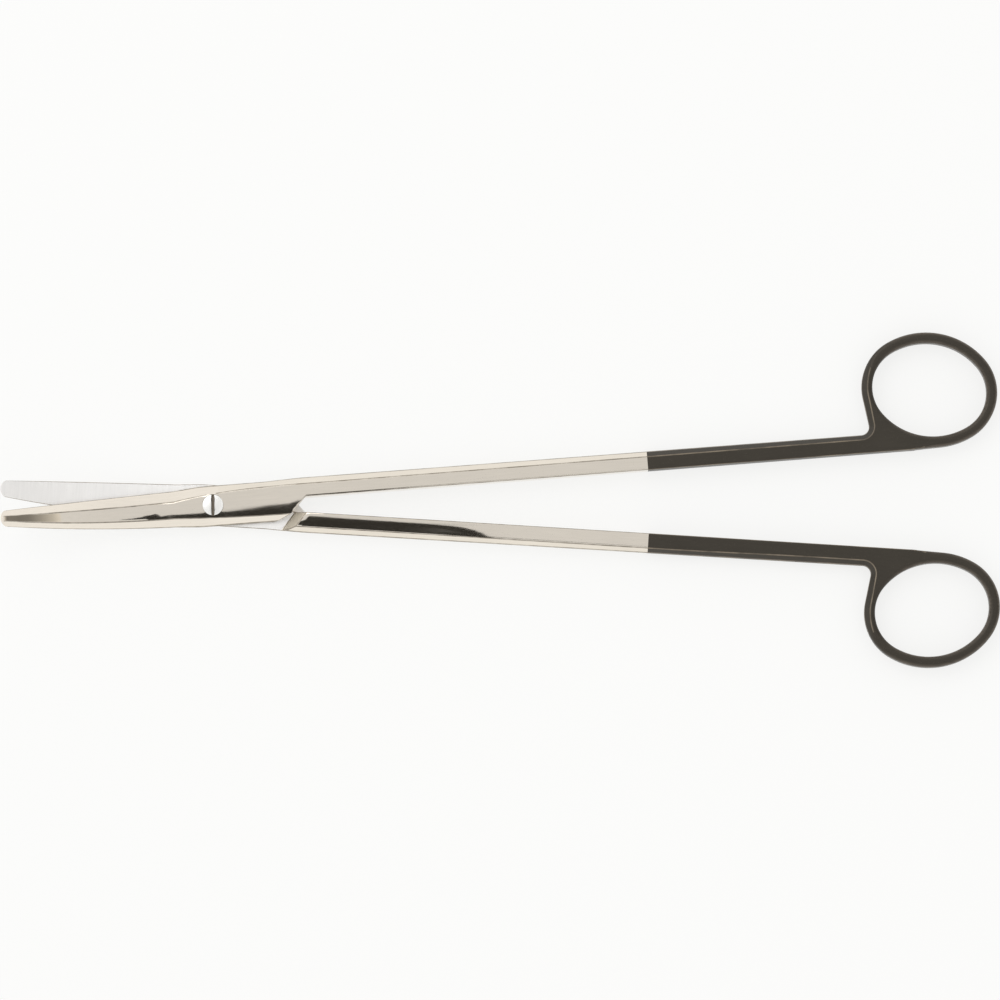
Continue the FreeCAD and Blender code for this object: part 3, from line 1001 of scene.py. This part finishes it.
class NodeDesk:
    """Adds and links the nodes of one tree."""

    def __init__(self, tree: NodeTree) -> None:
        """Work on a tree.

        Args:
            tree: A material's, a world's or a group's node tree.
        """
        self.tree = tree

    def feed(self, node: Node, inputs: dict[str | int, Entry]) -> None:
        """Link sockets to a node's inputs or set their values, by name or number.

        Args:
            node: The node.
            inputs: Sockets to link or values to set.
        """
        for key, entry in inputs.items():
            if isinstance(entry, NodeSocket):
                self.tree.links.new(entry, node.inputs[key])
            else:
                node.inputs[key].default_value = entry

    def add(self, kind: str, inputs: dict[str | int, Entry] | None = None,
            **settings: object) -> Node:
        """Add a node.

        Args:
            kind: Its type's name without the leading ShaderNode.
            inputs: Sockets to link or values to set, by the input's name or number.
            **settings: Properties of the node.

        Returns:
            The node.
        """
        node = self.tree.nodes.new("ShaderNode" + kind)
        for name, setting in settings.items():
            setattr(node, name, setting)
        self.feed(node, inputs or {})
        return node

    def own_place(self) -> NodeSocket:
        """Return the place in the piece's own frame."""
        return self.add("Attribute", attribute_name="own_place").outputs["Vector"]

    def noise(self, place: NodeSocket, scale: Entry, detail: float,
              rough: float = 0.5) -> NodeSocket:
        """Add a noise texture and return its grey output."""
        return self.add("TexNoise", {"Vector": place, "Scale": scale, "Detail": detail,
                                     "Roughness": rough}).outputs["Fac"]

    def part(self, vector: NodeSocket, axis: str) -> NodeSocket:
        """Return one coordinate, X, Y or Z, of a vector."""
        return self.add("SeparateXYZ", {0: vector}).outputs[axis]

    def math(self, operation: str, *terms: Entry) -> NodeSocket:
        """Add a Math node and return its output."""
        return self.add("Math", dict(enumerate(terms)), operation=operation).outputs[0]

    def between(self, share: Entry, low: Entry, high: Entry) -> NodeSocket:
        """Add a node that runs from one number to another and return its output."""
        return self.add("MapRange", {0: share, 3: low, 4: high}).outputs[0]

    def within(self, value: Entry, start: Entry, end: Entry, **settings: str) -> NodeSocket:
        """Add a node that rises from 0 at start to 1 at end and return its output."""
        return self.add("MapRange", {0: value, 1: start, 2: end}, **settings).outputs[0]

    def blend(self, share: Entry, first: Entry, second: Entry, kind: str = "MIX") -> NodeSocket:
        """Add a colour mix and return its output."""
        node = self.add("Mix", {0: share, 6: first, 7: second}, data_type="RGBA", blend_type=kind)
        return node.outputs[2]

    def stain(self, tone: Entry, mask: NodeSocket, strength: Entry, color: Point) -> NodeSocket:
        """Cover a tone with a colour where a mask is set and return the result."""
        return self.blend(self.math("MULTIPLY", mask, strength), tone, (*color, 1))

    def height_ramp(self, levels: Sequence[tuple[float, float]],
                    tint: Point = (1.0, 1.0, 1.0)) -> NodeSocket:
        """Return a grey that changes with height.

        Args:
            levels: Greys from 0 to 1, each with the share of the height where it holds.
            tint: Colour that the greys are multiplied by.

        Returns:
            The colour output of a ramp.
        """
        height = self.part(self.add("TexCoord").outputs["Generated"], "Z")
        shade = self.add("ValToRGB", {0: height})
        ramp = shade.color_ramp.elements
        ramp.remove(ramp[0])
        ramp[0].position, grey = levels[0]
        ramp[0].color = (*(grey * share for share in tint), 1)
        for position, grey in levels[1:]:
            ramp.new(position).color = (*(grey * share for share in tint), 1)
        return shade.outputs[0]

    def group(self, tree: NodeTree, **inputs: Entry) -> Node:
        """Place a node group with its own values.

        Args:
            tree: The group.
            **inputs: Its inputs, by their names in small letters.

        Returns:
            The node that stands for the group.
        """
        node = self.add("Group", node_tree=tree)
        self.feed(node, {name.capitalize(): entry for name, entry in inputs.items()})
        return node

    def seen_share(self, share: float) -> NodeSocket:
        """Return a share that holds only for rays from the camera, a mirror or through glass.

        Args:
            share: The share for those rays.

        Returns:
            The share's socket.
        """
        path = self.add("LightPath")
        seen = self.math("MAXIMUM", path.outputs["Is Camera Ray"], path.outputs["Is Glossy Ray"])
        seen = self.math("MAXIMUM", seen, path.outputs["Is Transmission Ray"])
        return self.math("MULTIPLY", seen, share)


def start_group(name: str, inputs: dict[str, float | Point],
                outputs: Sequence[str]) -> tuple[NodeDesk, NodeOutputs, Node]:
    """Start a shader node group.

    Args:
        name: Name of the group.
        inputs: Default of each input, a number or three numbers.
        outputs: Names of the outputs, which are all numbers.

    Returns:
        A desk on the group's tree, the sockets that bring its inputs and its output node.
    """
    tree = bpy.data.node_groups.new(name, "ShaderNodeTree")
    for label, default in inputs.items():
        kind = "NodeSocketVector" if isinstance(default, tuple) else "NodeSocketFloat"
        socket = tree.interface.new_socket(name=label, in_out="INPUT", socket_type=kind)
        socket.default_value = default
    for label in outputs:
        tree.interface.new_socket(name=label, in_out="OUTPUT", socket_type="NodeSocketFloat")
    given = tree.nodes.new("NodeGroupInput").outputs
    return NodeDesk(tree), given, tree.nodes.new("NodeGroupOutput")


class SurfaceEffects:
    """The shader groups that the finishes share, each built once."""

    def __init__(self) -> None:
        """Build the groups."""
        self.drift = self.build_drift()
        self.lines = self.build_lines()
        self.wear_and_edge_reflection = self.build_wear_and_edge_reflection()
        self.specks = self.build_specks()

    @staticmethod
    def build_drift() -> NodeTree:
        """Build the slow change of tone and level over a hand-polished face.

        Returns:
            The group.
        """
        desk, given, result = start_group(
            "slow_drift", {"Scale": 60.0, "Amount": 0.05}, ("Tone", "Height"))
        wave = desk.noise(desk.own_place(), given["Scale"], 2.0, 0.45)
        tone = desk.math("MULTIPLY_ADD", desk.math("SUBTRACT", wave, 0.5), given["Amount"], 1.0)
        desk.feed(result, {"Tone": tone, "Height": wave})
        return desk.tree

    @staticmethod
    def build_lines() -> NodeTree:
        """Build fine lines left by polishing or grinding, long in one direction.

        Returns:
            The group.
        """
        desk, given, result = start_group(
            "fine_lines", {"Stretch": (400.0, 4000.0, 4000.0), "Contrast": 1.0},
            ("Lines", "Scratches"))
        scaled = desk.add("VectorMath", {0: desk.own_place(), 1: given["Stretch"]},
                          operation="MULTIPLY").outputs[0]
        wide = desk.add("VectorMath", {0: scaled, 1: (0.35, 0.22, 0.22)},
                        operation="MULTIPLY").outputs[0]
        fine = desk.math("SUBTRACT", desk.noise(scaled, 1.0, 4.0, 0.6), 0.5)
        desk.feed(result, {
            "Lines": desk.math("MULTIPLY_ADD", fine, given["Contrast"], 0.5),
            "Scratches": desk.within(desk.noise(wide, 1.0, 1.0), 0.66, 0.74)})
        return desk.tree

    @staticmethod
    def build_wear_and_edge_reflection() -> NodeTree:
        """Build the broken line along the rounded edges: painted reflection on steel, worn coating
        with a painted highlight.

        Returns:
            The group.
        """
        desk, given, result = start_group(
            "edge_wear_and_edge_reflection", {"Scale": 250.0, "Least": 0.4, "Most": 0.6}, ("Mask",))
        rim = desk.add("Attribute", attribute_name="rim").outputs["Fac"]
        patch = desk.noise(desk.own_place(), given["Scale"], 3.0, 0.65)
        worn = desk.within(patch, given["Least"], given["Most"])
        desk.feed(result, {"Mask": desk.math("MULTIPLY", rim, worn)})
        return desk.tree

    @staticmethod
    def build_specks() -> NodeTree:
        """Build small specks, such as dust in a coating or pits in ground steel.

        Returns:
            The group.
        """
        desk, given, result = start_group(
            "fine_specks", {"Scale": 2500.0, "Size": 0.16}, ("Mask", "Grain"))
        place = desk.own_place()
        cells = desk.add("TexVoronoi", {"Vector": place, "Scale": given["Scale"]}).outputs
        small = desk.math("LESS_THAN", cells["Distance"], given["Size"])
        pick = desk.add("SeparateColor", {0: cells["Color"]}).outputs[0]
        desk.feed(result, {
            "Mask": desk.math("MULTIPLY", small, desk.math("GREATER_THAN", pick, 0.72)),
            "Grain": desk.noise(place, given["Scale"], 3.0)})
        return desk.tree


def start_material(name: str) -> tuple[Material, NodeDesk, Node]:
    """Start a material with one Principled shader.

    Args:
        name: Name of the material.

    Returns:
        The material, a desk on its tree and the shader node.
    """
    material = bpy.data.materials.new(name)
    material.use_nodes = True
    desk = NodeDesk(material.node_tree)
    return material, desk, material.node_tree.nodes["Principled BSDF"]


@dataclass(frozen=True)
class SteelFinish:
    """Bare instrument steel with its polish and lines, and a painted reflection in broken patches
    along its rounded edges.
    """

    name: str
    color: Point
    # colour of the painted reflection along the rounded edges, which draws their thin outlines
    edge: Point
    roughness: float
    lines: Point
    line_depth: float
    contrast: float = 1.2
    wave_depth: float = 0.0
    tone_drift: float = 0.08
    metal: float = 1.0

    def build(self, effects: SurfaceEffects) -> Material:
        """Make the material.

        Args:
            effects: The shared groups.

        Returns:
            The material.
        """
        material, desk, shader = start_material(self.name)
        drift = desk.group(effects.drift, scale=70.0, amount=self.tone_drift).outputs
        lines = desk.group(effects.lines, stretch=self.lines, contrast=self.contrast).outputs
        wear_and_edge_reflection = desk.group(effects.wear_and_edge_reflection, scale=300.0, least=0.05, most=0.6).outputs
        specks = desk.group(effects.specks, scale=1500.0, size=0.1).outputs
        tone = desk.blend(1.0, (*self.color, 1), drift["Tone"], "MULTIPLY")
        tone = desk.blend(1.0, tone, desk.between(lines["Lines"], 0.94, 1.04), "MULTIPLY")
        tone = desk.stain(tone, specks["Mask"], 0.25, (0.25, 0.22, 0.19))
        # painted reflection: the rounded edges take the edge colour in broken patches
        tone = desk.stain(tone, wear_and_edge_reflection["Mask"], 0.85, self.edge)
        rough = desk.between(lines["Lines"], self.roughness * 0.8, self.roughness * 1.25)
        rough = desk.math("MULTIPLY_ADD", lines["Scratches"], 0.05, rough)
        waves = desk.add("Bump", {"Height": drift["Height"], "Strength": 1.0,
                                  "Distance": self.wave_depth * MM})
        fine = desk.math("SUBTRACT", lines["Lines"], lines["Scratches"])
        bump = desk.add("Bump", {"Height": fine, "Strength": 1.0, "Normal": waves.outputs[0],
                                 "Distance": self.line_depth * MM})
        desk.feed(shader, {"Base Color": tone, "Roughness": rough, "Normal": bump.outputs[0],
                           "Metallic": self.metal})
        return material


@dataclass(frozen=True)
class CoatingFinish:
    """Thin matt black coating of the handles, worn at the edges with a painted highlight there,
    and a painted sheen on the rings' flanks.
    """

    name: str
    color: Point
    rubbed_and_highlight: Point
    painted_flank_sheen: Point
    roughness: float

    # own x in metres where the rings begin, and how upright a flat and a steep normal are, for the
    # painted sheen on the steep flanks
    RING_SPAN = (0.153, 0.16)
    FLANK_SPAN = (0.99, 0.7)

    def painted_flank_sheen_share(self, desk: NodeDesk) -> NodeSocket:
        """Return the share of painted sheen: the round flanks of the rings, lighter where they are
        steep.

        Args:
            desk: Desk on the material's tree.

        Returns:
            The share's socket.
        """
        ring = desk.within(desk.part(desk.own_place(), "X"), *self.RING_SPAN,
                           interpolation_type="SMOOTHSTEP")
        normal = desk.add("NewGeometry").outputs["Normal"]
        upright = desk.math("ABSOLUTE", desk.part(normal, "Z"))
        flank = desk.within(upright, *self.FLANK_SPAN)
        return desk.math("MULTIPLY", ring, flank)

    def build(self, effects: SurfaceEffects) -> Material:
        """Make the material.

        Args:
            effects: The shared groups.

        Returns:
            The material.
        """
        material, desk, shader = start_material(self.name)
        drift = desk.group(effects.drift, scale=120.0, amount=0.35).outputs
        lines = desk.group(effects.lines, stretch=(150.0, 1800.0, 1800.0), contrast=1.5).outputs
        wear_and_edge_reflection = desk.group(effects.wear_and_edge_reflection, scale=160.0, least=0.2, most=0.7).outputs
        specks = desk.group(effects.specks, scale=2600.0, size=0.22).outputs
        tone = desk.blend(1.0, (*self.color, 1), drift["Tone"], "MULTIPLY")
        tone = desk.blend(1.0, tone, desk.between(lines["Lines"], 0.85, 1.15), "MULTIPLY")
        tone = desk.stain(tone, specks["Mask"], 0.35, (0.085, 0.075, 0.06))
        # painted sheen: the steep flanks of the rings are lightened, standing in for their
        # reflection of the bright room
        tone = desk.stain(tone, self.painted_flank_sheen_share(desk), lines["Lines"], self.painted_flank_sheen)
        # worn coating and a painted highlight: the rounded edges and crests are lightened in
        # broken patches
        tone = desk.stain(tone, wear_and_edge_reflection["Mask"], 0.8, self.rubbed_and_highlight)
        rough = desk.between(specks["Grain"], self.roughness - 0.06, self.roughness + 0.06)
        rough = desk.math("MULTIPLY_ADD", wear_and_edge_reflection["Mask"], -0.12, rough)
        relief = desk.math("MULTIPLY_ADD", specks["Mask"], 0.6, specks["Grain"])
        bump = desk.add("Bump", {"Height": relief, "Strength": 0.6, "Distance": 0.008 * MM})
        desk.feed(shader, {"Base Color": tone, "Roughness": rough, "Normal": bump.outputs[0],
                           "Specular Tint": (1.0, 0.9, 0.78, 1)})
        return material


class Finishes:
    """All finishes of the scissors, by the faces that carry them."""

    def __init__(self) -> None:
        """Build the materials."""
        effects = SurfaceEffects()
        # polished steel's dark edge colour is a painted reflection that draws thin dark outlines
        # on the rounded edges
        self.polished = SteelFinish(
            "polished_steel", color=(0.84, 0.775, 0.68), edge=(0.2, 0.17, 0.13),
            roughness=0.05, lines=(160.0, 2600.0, 2600.0), line_depth=0.0005,
            wave_depth=0.006).build(effects)
        self.ground = SteelFinish(
            "ground_steel", color=(0.97, 0.955, 0.935), edge=(0.6, 0.57, 0.53),
            roughness=0.42, lines=(2400.0, 160.0, 160.0), line_depth=0.003,
            contrast=1.4, tone_drift=0.06, metal=0.45).build(effects)
        self.shoulder = SteelFinish(
            "filed_shoulder_steel", color=(0.7, 0.64, 0.53), edge=(0.26, 0.225, 0.175),
            roughness=0.38, lines=(2400.0, 160.0, 160.0), line_depth=0.004,
            contrast=1.6, tone_drift=0.1, metal=0.45).build(effects)
        self.screw = SteelFinish(
            "bright_screw_steel", color=(0.97, 0.96, 0.93), edge=(0.45, 0.41, 0.36),
            roughness=0.25, lines=(900.0, 900.0, 300.0), line_depth=0.002,
            metal=0.45).build(effects)
        # the slot's faces are painted dark: painted shade in the recess of the driver slot
        self.slot = SteelFinish(
            "slot_steel_painted_shade", color=(0.2, 0.17, 0.135), edge=(0.3, 0.26, 0.21),
            roughness=0.5, lines=(900.0, 200.0, 900.0), line_depth=0.003).build(effects)
        # the lighter edge colour is worn coating with a painted highlight, and the flank colour is
        # a painted sheen
        self.coating = CoatingFinish(
            "black_coating", color=(0.026, 0.0225, 0.017), rubbed_and_highlight=(0.3, 0.245, 0.18),
            painted_flank_sheen=(0.13, 0.106, 0.084), roughness=0.38).build(effects)

    def dress(self, piece: Object, plain: Material, ground: Material) -> None:
        """Fill a piece's material slots.

        Args:
            piece: The piece.
            plain: Material of its polished faces.
            ground: Material of its ground faces.
        """
        slots = {Finish.POLISHED: plain, Finish.GROUND: ground,
                 Finish.COATED: self.coating, Finish.EASED: plain,
                 Finish.SHOULDER: self.shoulder}
        for finish, material in slots.items():
            piece.data.materials[finish.value] = material


@dataclass(frozen=True)
class Bore:
    """A round hole about the pivot, in millimetres."""

    radius: float
    low: float
    high: float

    def cutter(self) -> Skin:
        """Return the shape that cuts the hole."""
        return turned(((self.radius, self.low), (self.radius, self.high)), Finish.POLISHED)


@dataclass
class ScissorHalf:
    """One half of the scissors: the forging with its bores, eased edges and finishes."""

    name: str
    body: str
    forging: Forging
    place: Matrix
    bores: tuple[Bore, ...]
    edge_width: float = 0.16

    # the rounding grows with the distance from the screw's axis and from the blade's end, and is
    # widest on the edges of the land, found by their x, their distance from the middle and levels
    SCREW_SPAN = (2.6, 3.4)
    LAND_SPAN = (-8, 150)
    LAND_EDGE = 4.1
    LAND_LEVELS = (0.4, 1.1)
    LAND_SHARE = 2.2
    TIP_RUN = (0.5, 12)
    # length of the blade's end whose rounded edges get no painted edge reflection
    BARE_TIP = 1.2

    def build(self) -> Object:
        """Make the piece.

        Returns:
            The object, with its modifiers applied.
        """
        piece = self.forging.skin().piece(self.name + "_dressed", self.place)
        carve(piece, [self.forging.tip_block()])
        carve(piece, [bore.cutter() for bore in self.bores])
        ease_edges(piece, self.edge_width, self.edge_weight)
        mark_rims(piece, self.forging.tip_x() + self.BARE_TIP, self.forging.coat_line)
        seat(piece)
        return piece

    def edge_weight(self, point: Vector) -> float:
        """Return the share of the edge rounding at a point.

        It falls to nothing at the screw and is small at the blade's end. The edges of the land
        along the plate and the shank are the most rounded.

        Args:
            point: Middle of the edge, in millimetres in the own frame.

        Returns:
            The share, 1 for the edge width itself.
        """
        away = math.hypot(point.x, point.y)
        if away < self.SCREW_SPAN[1]:
            return mix(0.0, 0.6, ease(away, *self.SCREW_SPAN))
        start, end = self.LAND_SPAN
        low, high = self.LAND_LEVELS
        if start < point.x < end and abs(point.y) > self.LAND_EDGE and low < abs(point.z) < high:
            return self.LAND_SHARE
        start, end = (self.forging.tip_x() + run for run in self.TIP_RUN)
        return mix(0.25, 1.0, ease(point.x, start, end))

    def dress(self, piece: Object, finishes: Finishes) -> None:
        """Give the piece its materials and tie it to its body.

        Args:
            piece: The piece.
            finishes: The finishes of the scissors.
        """
        finishes.dress(piece, finishes.polished, finishes.ground)
        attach(piece, self.body)
        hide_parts(self.name)


@dataclass
class PivotScrew:
    """Slotted screw that holds the halves and is their pivot, and its bores, in millimetres."""

    place: Matrix
    body: str = "back"
    joint_half: float = 2.5
    head_wide: float = 4.75
    head_deep: float = 1.05
    head_dome: float = 0.22
    head_lift: float = 0.03
    pin_wide: float = 3.0
    lap_gap: float = 0.06
    thread_wide: float = 2.4
    seat_wide: float = 4.85
    clearance_wide: float = 3.08
    slot_wide: float = 0.7
    slot_deep: float = 0.6
    edge: float = 0.09
    crown_flat: float = 0.05
    end_chamfer: float = 0.2

    DOME_RINGS = 8
    EASED_REACH = 1.95
    # levels below and above a half, between which a bore goes right through it
    THROUGH = (-3.0, 4.0)

    def front_bores(self) -> tuple[Bore, ...]:
        """Return the seat of the head and the clearance hole in the front half."""
        seat = Bore(self.seat_wide / 2, self.joint_half - self.head_deep, self.THROUGH[1])
        return seat, Bore(self.clearance_wide / 2, *self.THROUGH)

    def back_bores(self) -> tuple[Bore, ...]:
        """Return the threaded hole in the back half, which is plain like the pin in it."""
        return (Bore(self.thread_wide / 2, *self.THROUGH),)

    def profile(self) -> list[Point]:
        """Return the screw's outline (radius, level) from the crown of the head to the thread.

        Returns:
            The outline's points.
        """
        rim, top = self.head_wide / 2, self.joint_half
        radius = (rim ** 2 + self.head_dome ** 2) / (2 * self.head_dome)
        dome = []
        for i in range(1, self.DOME_RINGS + 1):
            r = (rim - self.edge) * i / self.DOME_RINGS
            dome.append((r, top + self.head_dome - radius + math.sqrt(radius ** 2 - r ** 2)))
        last = dome[-1][1]
        for turn in (math.radians(degrees) for degrees in (30, 60, 90)):
            dome.append((rim - self.edge * (1 - math.sin(turn)),
                         last - self.edge * (1 - math.cos(turn))))
        under = top - self.head_deep + self.head_lift
        pin, thread = self.pin_wide / 2, self.thread_wide / 2
        return [(self.crown_flat, top + self.head_dome), *dome, (rim, under), (pin, under),
                (pin, -self.lap_gap), (thread, -self.lap_gap), (thread, self.end_chamfer - top),
                (thread - self.end_chamfer, -top)]

    def slot_block(self) -> Skin:
        """Return the block that cuts the driver slot.

        Returns:
            The closed shape.
        """
        half, reach = self.slot_wide / 2, self.head_wide
        plan = [(-half, -reach), (half, -reach), (half, reach), (-half, reach)]
        return prism(plan, self.joint_half - self.slot_deep, self.joint_half + 1, Finish.GROUND)

    def edge_weight(self, point: Vector) -> float:
        """Return 1 at the slot's edges and 0 at the rim, which the outline rounds itself."""
        return float(math.hypot(point.x, point.y) < self.EASED_REACH)

    def build(self) -> Object:
        """Make the piece.

        Returns:
            The object, with its modifiers applied.
        """
        piece = turned(self.profile(), Finish.POLISHED).piece("pivot_screw_dressed", self.place)
        carve(piece, [self.slot_block()])
        ease_edges(piece, self.edge, self.edge_weight)
        mark_rims(piece, -self.head_wide, math.inf)
        seat(piece)
        return piece

    def dress(self, piece: Object, finishes: Finishes) -> None:
        """Give the screw its material and tie it to its body.

        Args:
            piece: The piece.
            finishes: The finishes of the scissors.
        """
        # the slot's faces get the painted shade of the recess
        finishes.dress(piece, finishes.screw, finishes.slot)
        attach(piece, self.body)
        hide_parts("pivot_screw")


@dataclass
class Studio:
    """Pale floor, soft light and camera, in metres and degrees."""

    aim: Point = (0.065645, 0.000809, 0.0025)
    distance: float = 2.0
    elevation: float = 85.0
    roll: float = -0.456
    view_width: float = 0.228904
    floor_size: float = 6.0
    floor_gap: float = 0.0002
    floor_glow: float = 0.78
    lamp_place: Point = (-0.45, 0.55, 1.1)
    lamp_size: float = 0.9
    lamp_power: float = 3.0

    # cards that the polished faces mirror: the plan of the first in millimetres, its level and
    # the second one's corners in metres, and greys by the share of a card's height
    CARD_TINT = (1.0, 0.95, 0.86)
    CARD_LEVEL = 0.85
    CARD_PLAN = ((-60, -200), (-60, 8), (-25, 4), (-17, 4), (-8, 33), (3, 46), (24, 38), (52, 34),
                 (70, 22), (125, 14), (188, 14), (125, -4), (60, -20), (52, -24), (52, -200))
    CARD_GREYS = ((0.2, 0.035), (0.8, 0.035))
    FAR_CARD = ((0.9, -0.05, 0.3), (0.9, 0.5, 0.3), (0.9, 0.5, 1.45), (0.9, -0.05, 1.45))
    FAR_GREYS = ((0.1, 0.3), (0.31, 0.26), (0.5, 0.21), (0.6, 0.24), (0.74, 0.4), (0.9, 0.61),
                 (0.97, 0.77))

    def build_camera(self) -> None:
        """Place the camera over the scissors and make it the scene's."""
        data = bpy.data.cameras.new("camera")
        data.lens = data.sensor_width * self.distance / self.view_width
        camera = show("camera", data)
        tilt = math.radians(self.elevation)
        away = Vector((0, -math.cos(tilt), math.sin(tilt)))
        turn = (Matrix.Rotation(math.radians(90 - self.elevation), 4, "X")
                @ Matrix.Rotation(math.radians(self.roll), 4, "Z"))
        camera.matrix_world = Matrix.Translation(Vector(self.aim) + away * self.distance) @ turn
        bpy.context.scene.camera = camera

    def build_floor(self) -> None:
        """Make the pale floor that keeps a soft shadow."""
        half = self.floor_size / 2
        data = bpy.data.meshes.new("floor")
        data.from_pydata([(-half, -half, 0), (half, -half, 0), (half, half, 0), (-half, half, 0)],
                         [], [(0, 1, 2, 3)])
        material, desk, shader = start_material("pale_floor")
        desk.feed(shader, {"Base Color": (0.9, 0.9, 0.89, 1), "Roughness": 0.9,
                           "Specular IOR Level": 0.1})
        white = desk.add("Emission", {"Color": (1.0, 1.0, 0.99, 1), "Strength": 1.0})
        both = desk.add("MixShader", {0: desk.seen_share(self.floor_glow),
                                      1: shader.outputs[0], 2: white.outputs[0]})
        desk.feed(desk.tree.nodes["Material Output"], {"Surface": both.outputs[0]})
        data.materials.append(material)
        floor = show("floor", data)
        floor.location.z = -self.floor_gap

    def build_world(self) -> None:
        """Make the white room: even all round and a little dimmer straight above."""
        world = bpy.data.worlds.new("white_room")
        bpy.context.scene.world = world
        world.use_nodes = True
        desk = NodeDesk(world.node_tree)
        shade = desk.height_ramp(((0.0, 1.0), (0.3, 1.0), (0.8, 0.78), (1.0, 0.76)))
        seen = desk.add("LightPath").outputs["Is Camera Ray"]
        desk.feed(world.node_tree.nodes["Background"], {
            "Color": desk.blend(seen, shade, (1, 1, 0.99, 1)), "Strength": 1.0})

    def build_card(self, name: str, corners: Sequence[Point],
                   levels: Sequence[tuple[float, float]]) -> None:
        """Make a grey card that only mirrors see.

        Args:
            name: Name of the card.
            corners: Its corners.
            levels: Greys from 0 to 1, each with the share of the card's height where it holds.
        """
        data = bpy.data.meshes.new(name)
        data.from_pydata(list(corners), [], [tuple(range(len(corners)))])
        material, desk, _ = start_material(name)
        glow = desk.add("Emission", {"Color": desk.height_ramp(levels, self.CARD_TINT)})
        desk.feed(desk.tree.nodes["Material Output"], {"Surface": glow.outputs[0]})
        data.materials.append(material)
        card = show(name, data)
        card.visible_camera = card.visible_shadow = card.visible_diffuse = False

    def build_lights(self) -> None:
        """Hang a large soft lamp over the upper left side."""
        data = bpy.data.lights.new("softbox", "AREA")
        data.shape, data.size, data.size_y = "RECTANGLE", self.lamp_size, self.lamp_size
        data.energy = self.lamp_power
        lamp = show("softbox", data)
        toward = Vector(self.aim) - Vector(self.lamp_place)
        lamp.location = self.lamp_place
        lamp.rotation_euler = toward.to_track_quat("-Z", "Y").to_euler()

    def build(self) -> None:
        """Make the whole studio."""
        self.build_camera()
        self.build_floor()
        self.build_world()
        self.build_lights()
        overhead = [(x * MM, y * MM, self.CARD_LEVEL) for x, y in self.CARD_PLAN]
        self.build_card("dark_overhead", overhead, self.CARD_GREYS)
        self.build_card("dark_far_end", self.FAR_CARD, self.FAR_GREYS)
        bpy.context.scene.view_settings.view_transform = "Standard"


def main() -> None:
    """Build and dress the scissors and set up the studio."""
    logging.basicConfig(level=logging.INFO, format="%(message)s")
    lift = Matrix.Translation((0, 0, Forging.joint_half * MM))
    screw = PivotScrew(lift)
    front = ScissorHalf(
        "front_half", "front", Forging(bend=1), lift @ Matrix.Rotation(HALF_OPENING, 4, "Z"),
        screw.front_bores())
    back = ScissorHalf(
        "back_half", "back", Forging(bend=-1),
        lift @ Matrix.Rotation(-HALF_OPENING, 4, "Z") @ Matrix.Rotation(math.pi, 4, "X"),
        screw.back_bores())
    finishes = Finishes()
    for assembly in (front, back, screw):
        piece = assembly.build()
        assembly.dress(piece, finishes)
        log.info("%s: %d vertices", piece.name, len(piece.data.vertices))
    Studio().build()


if __name__ == "__main__":
    main()
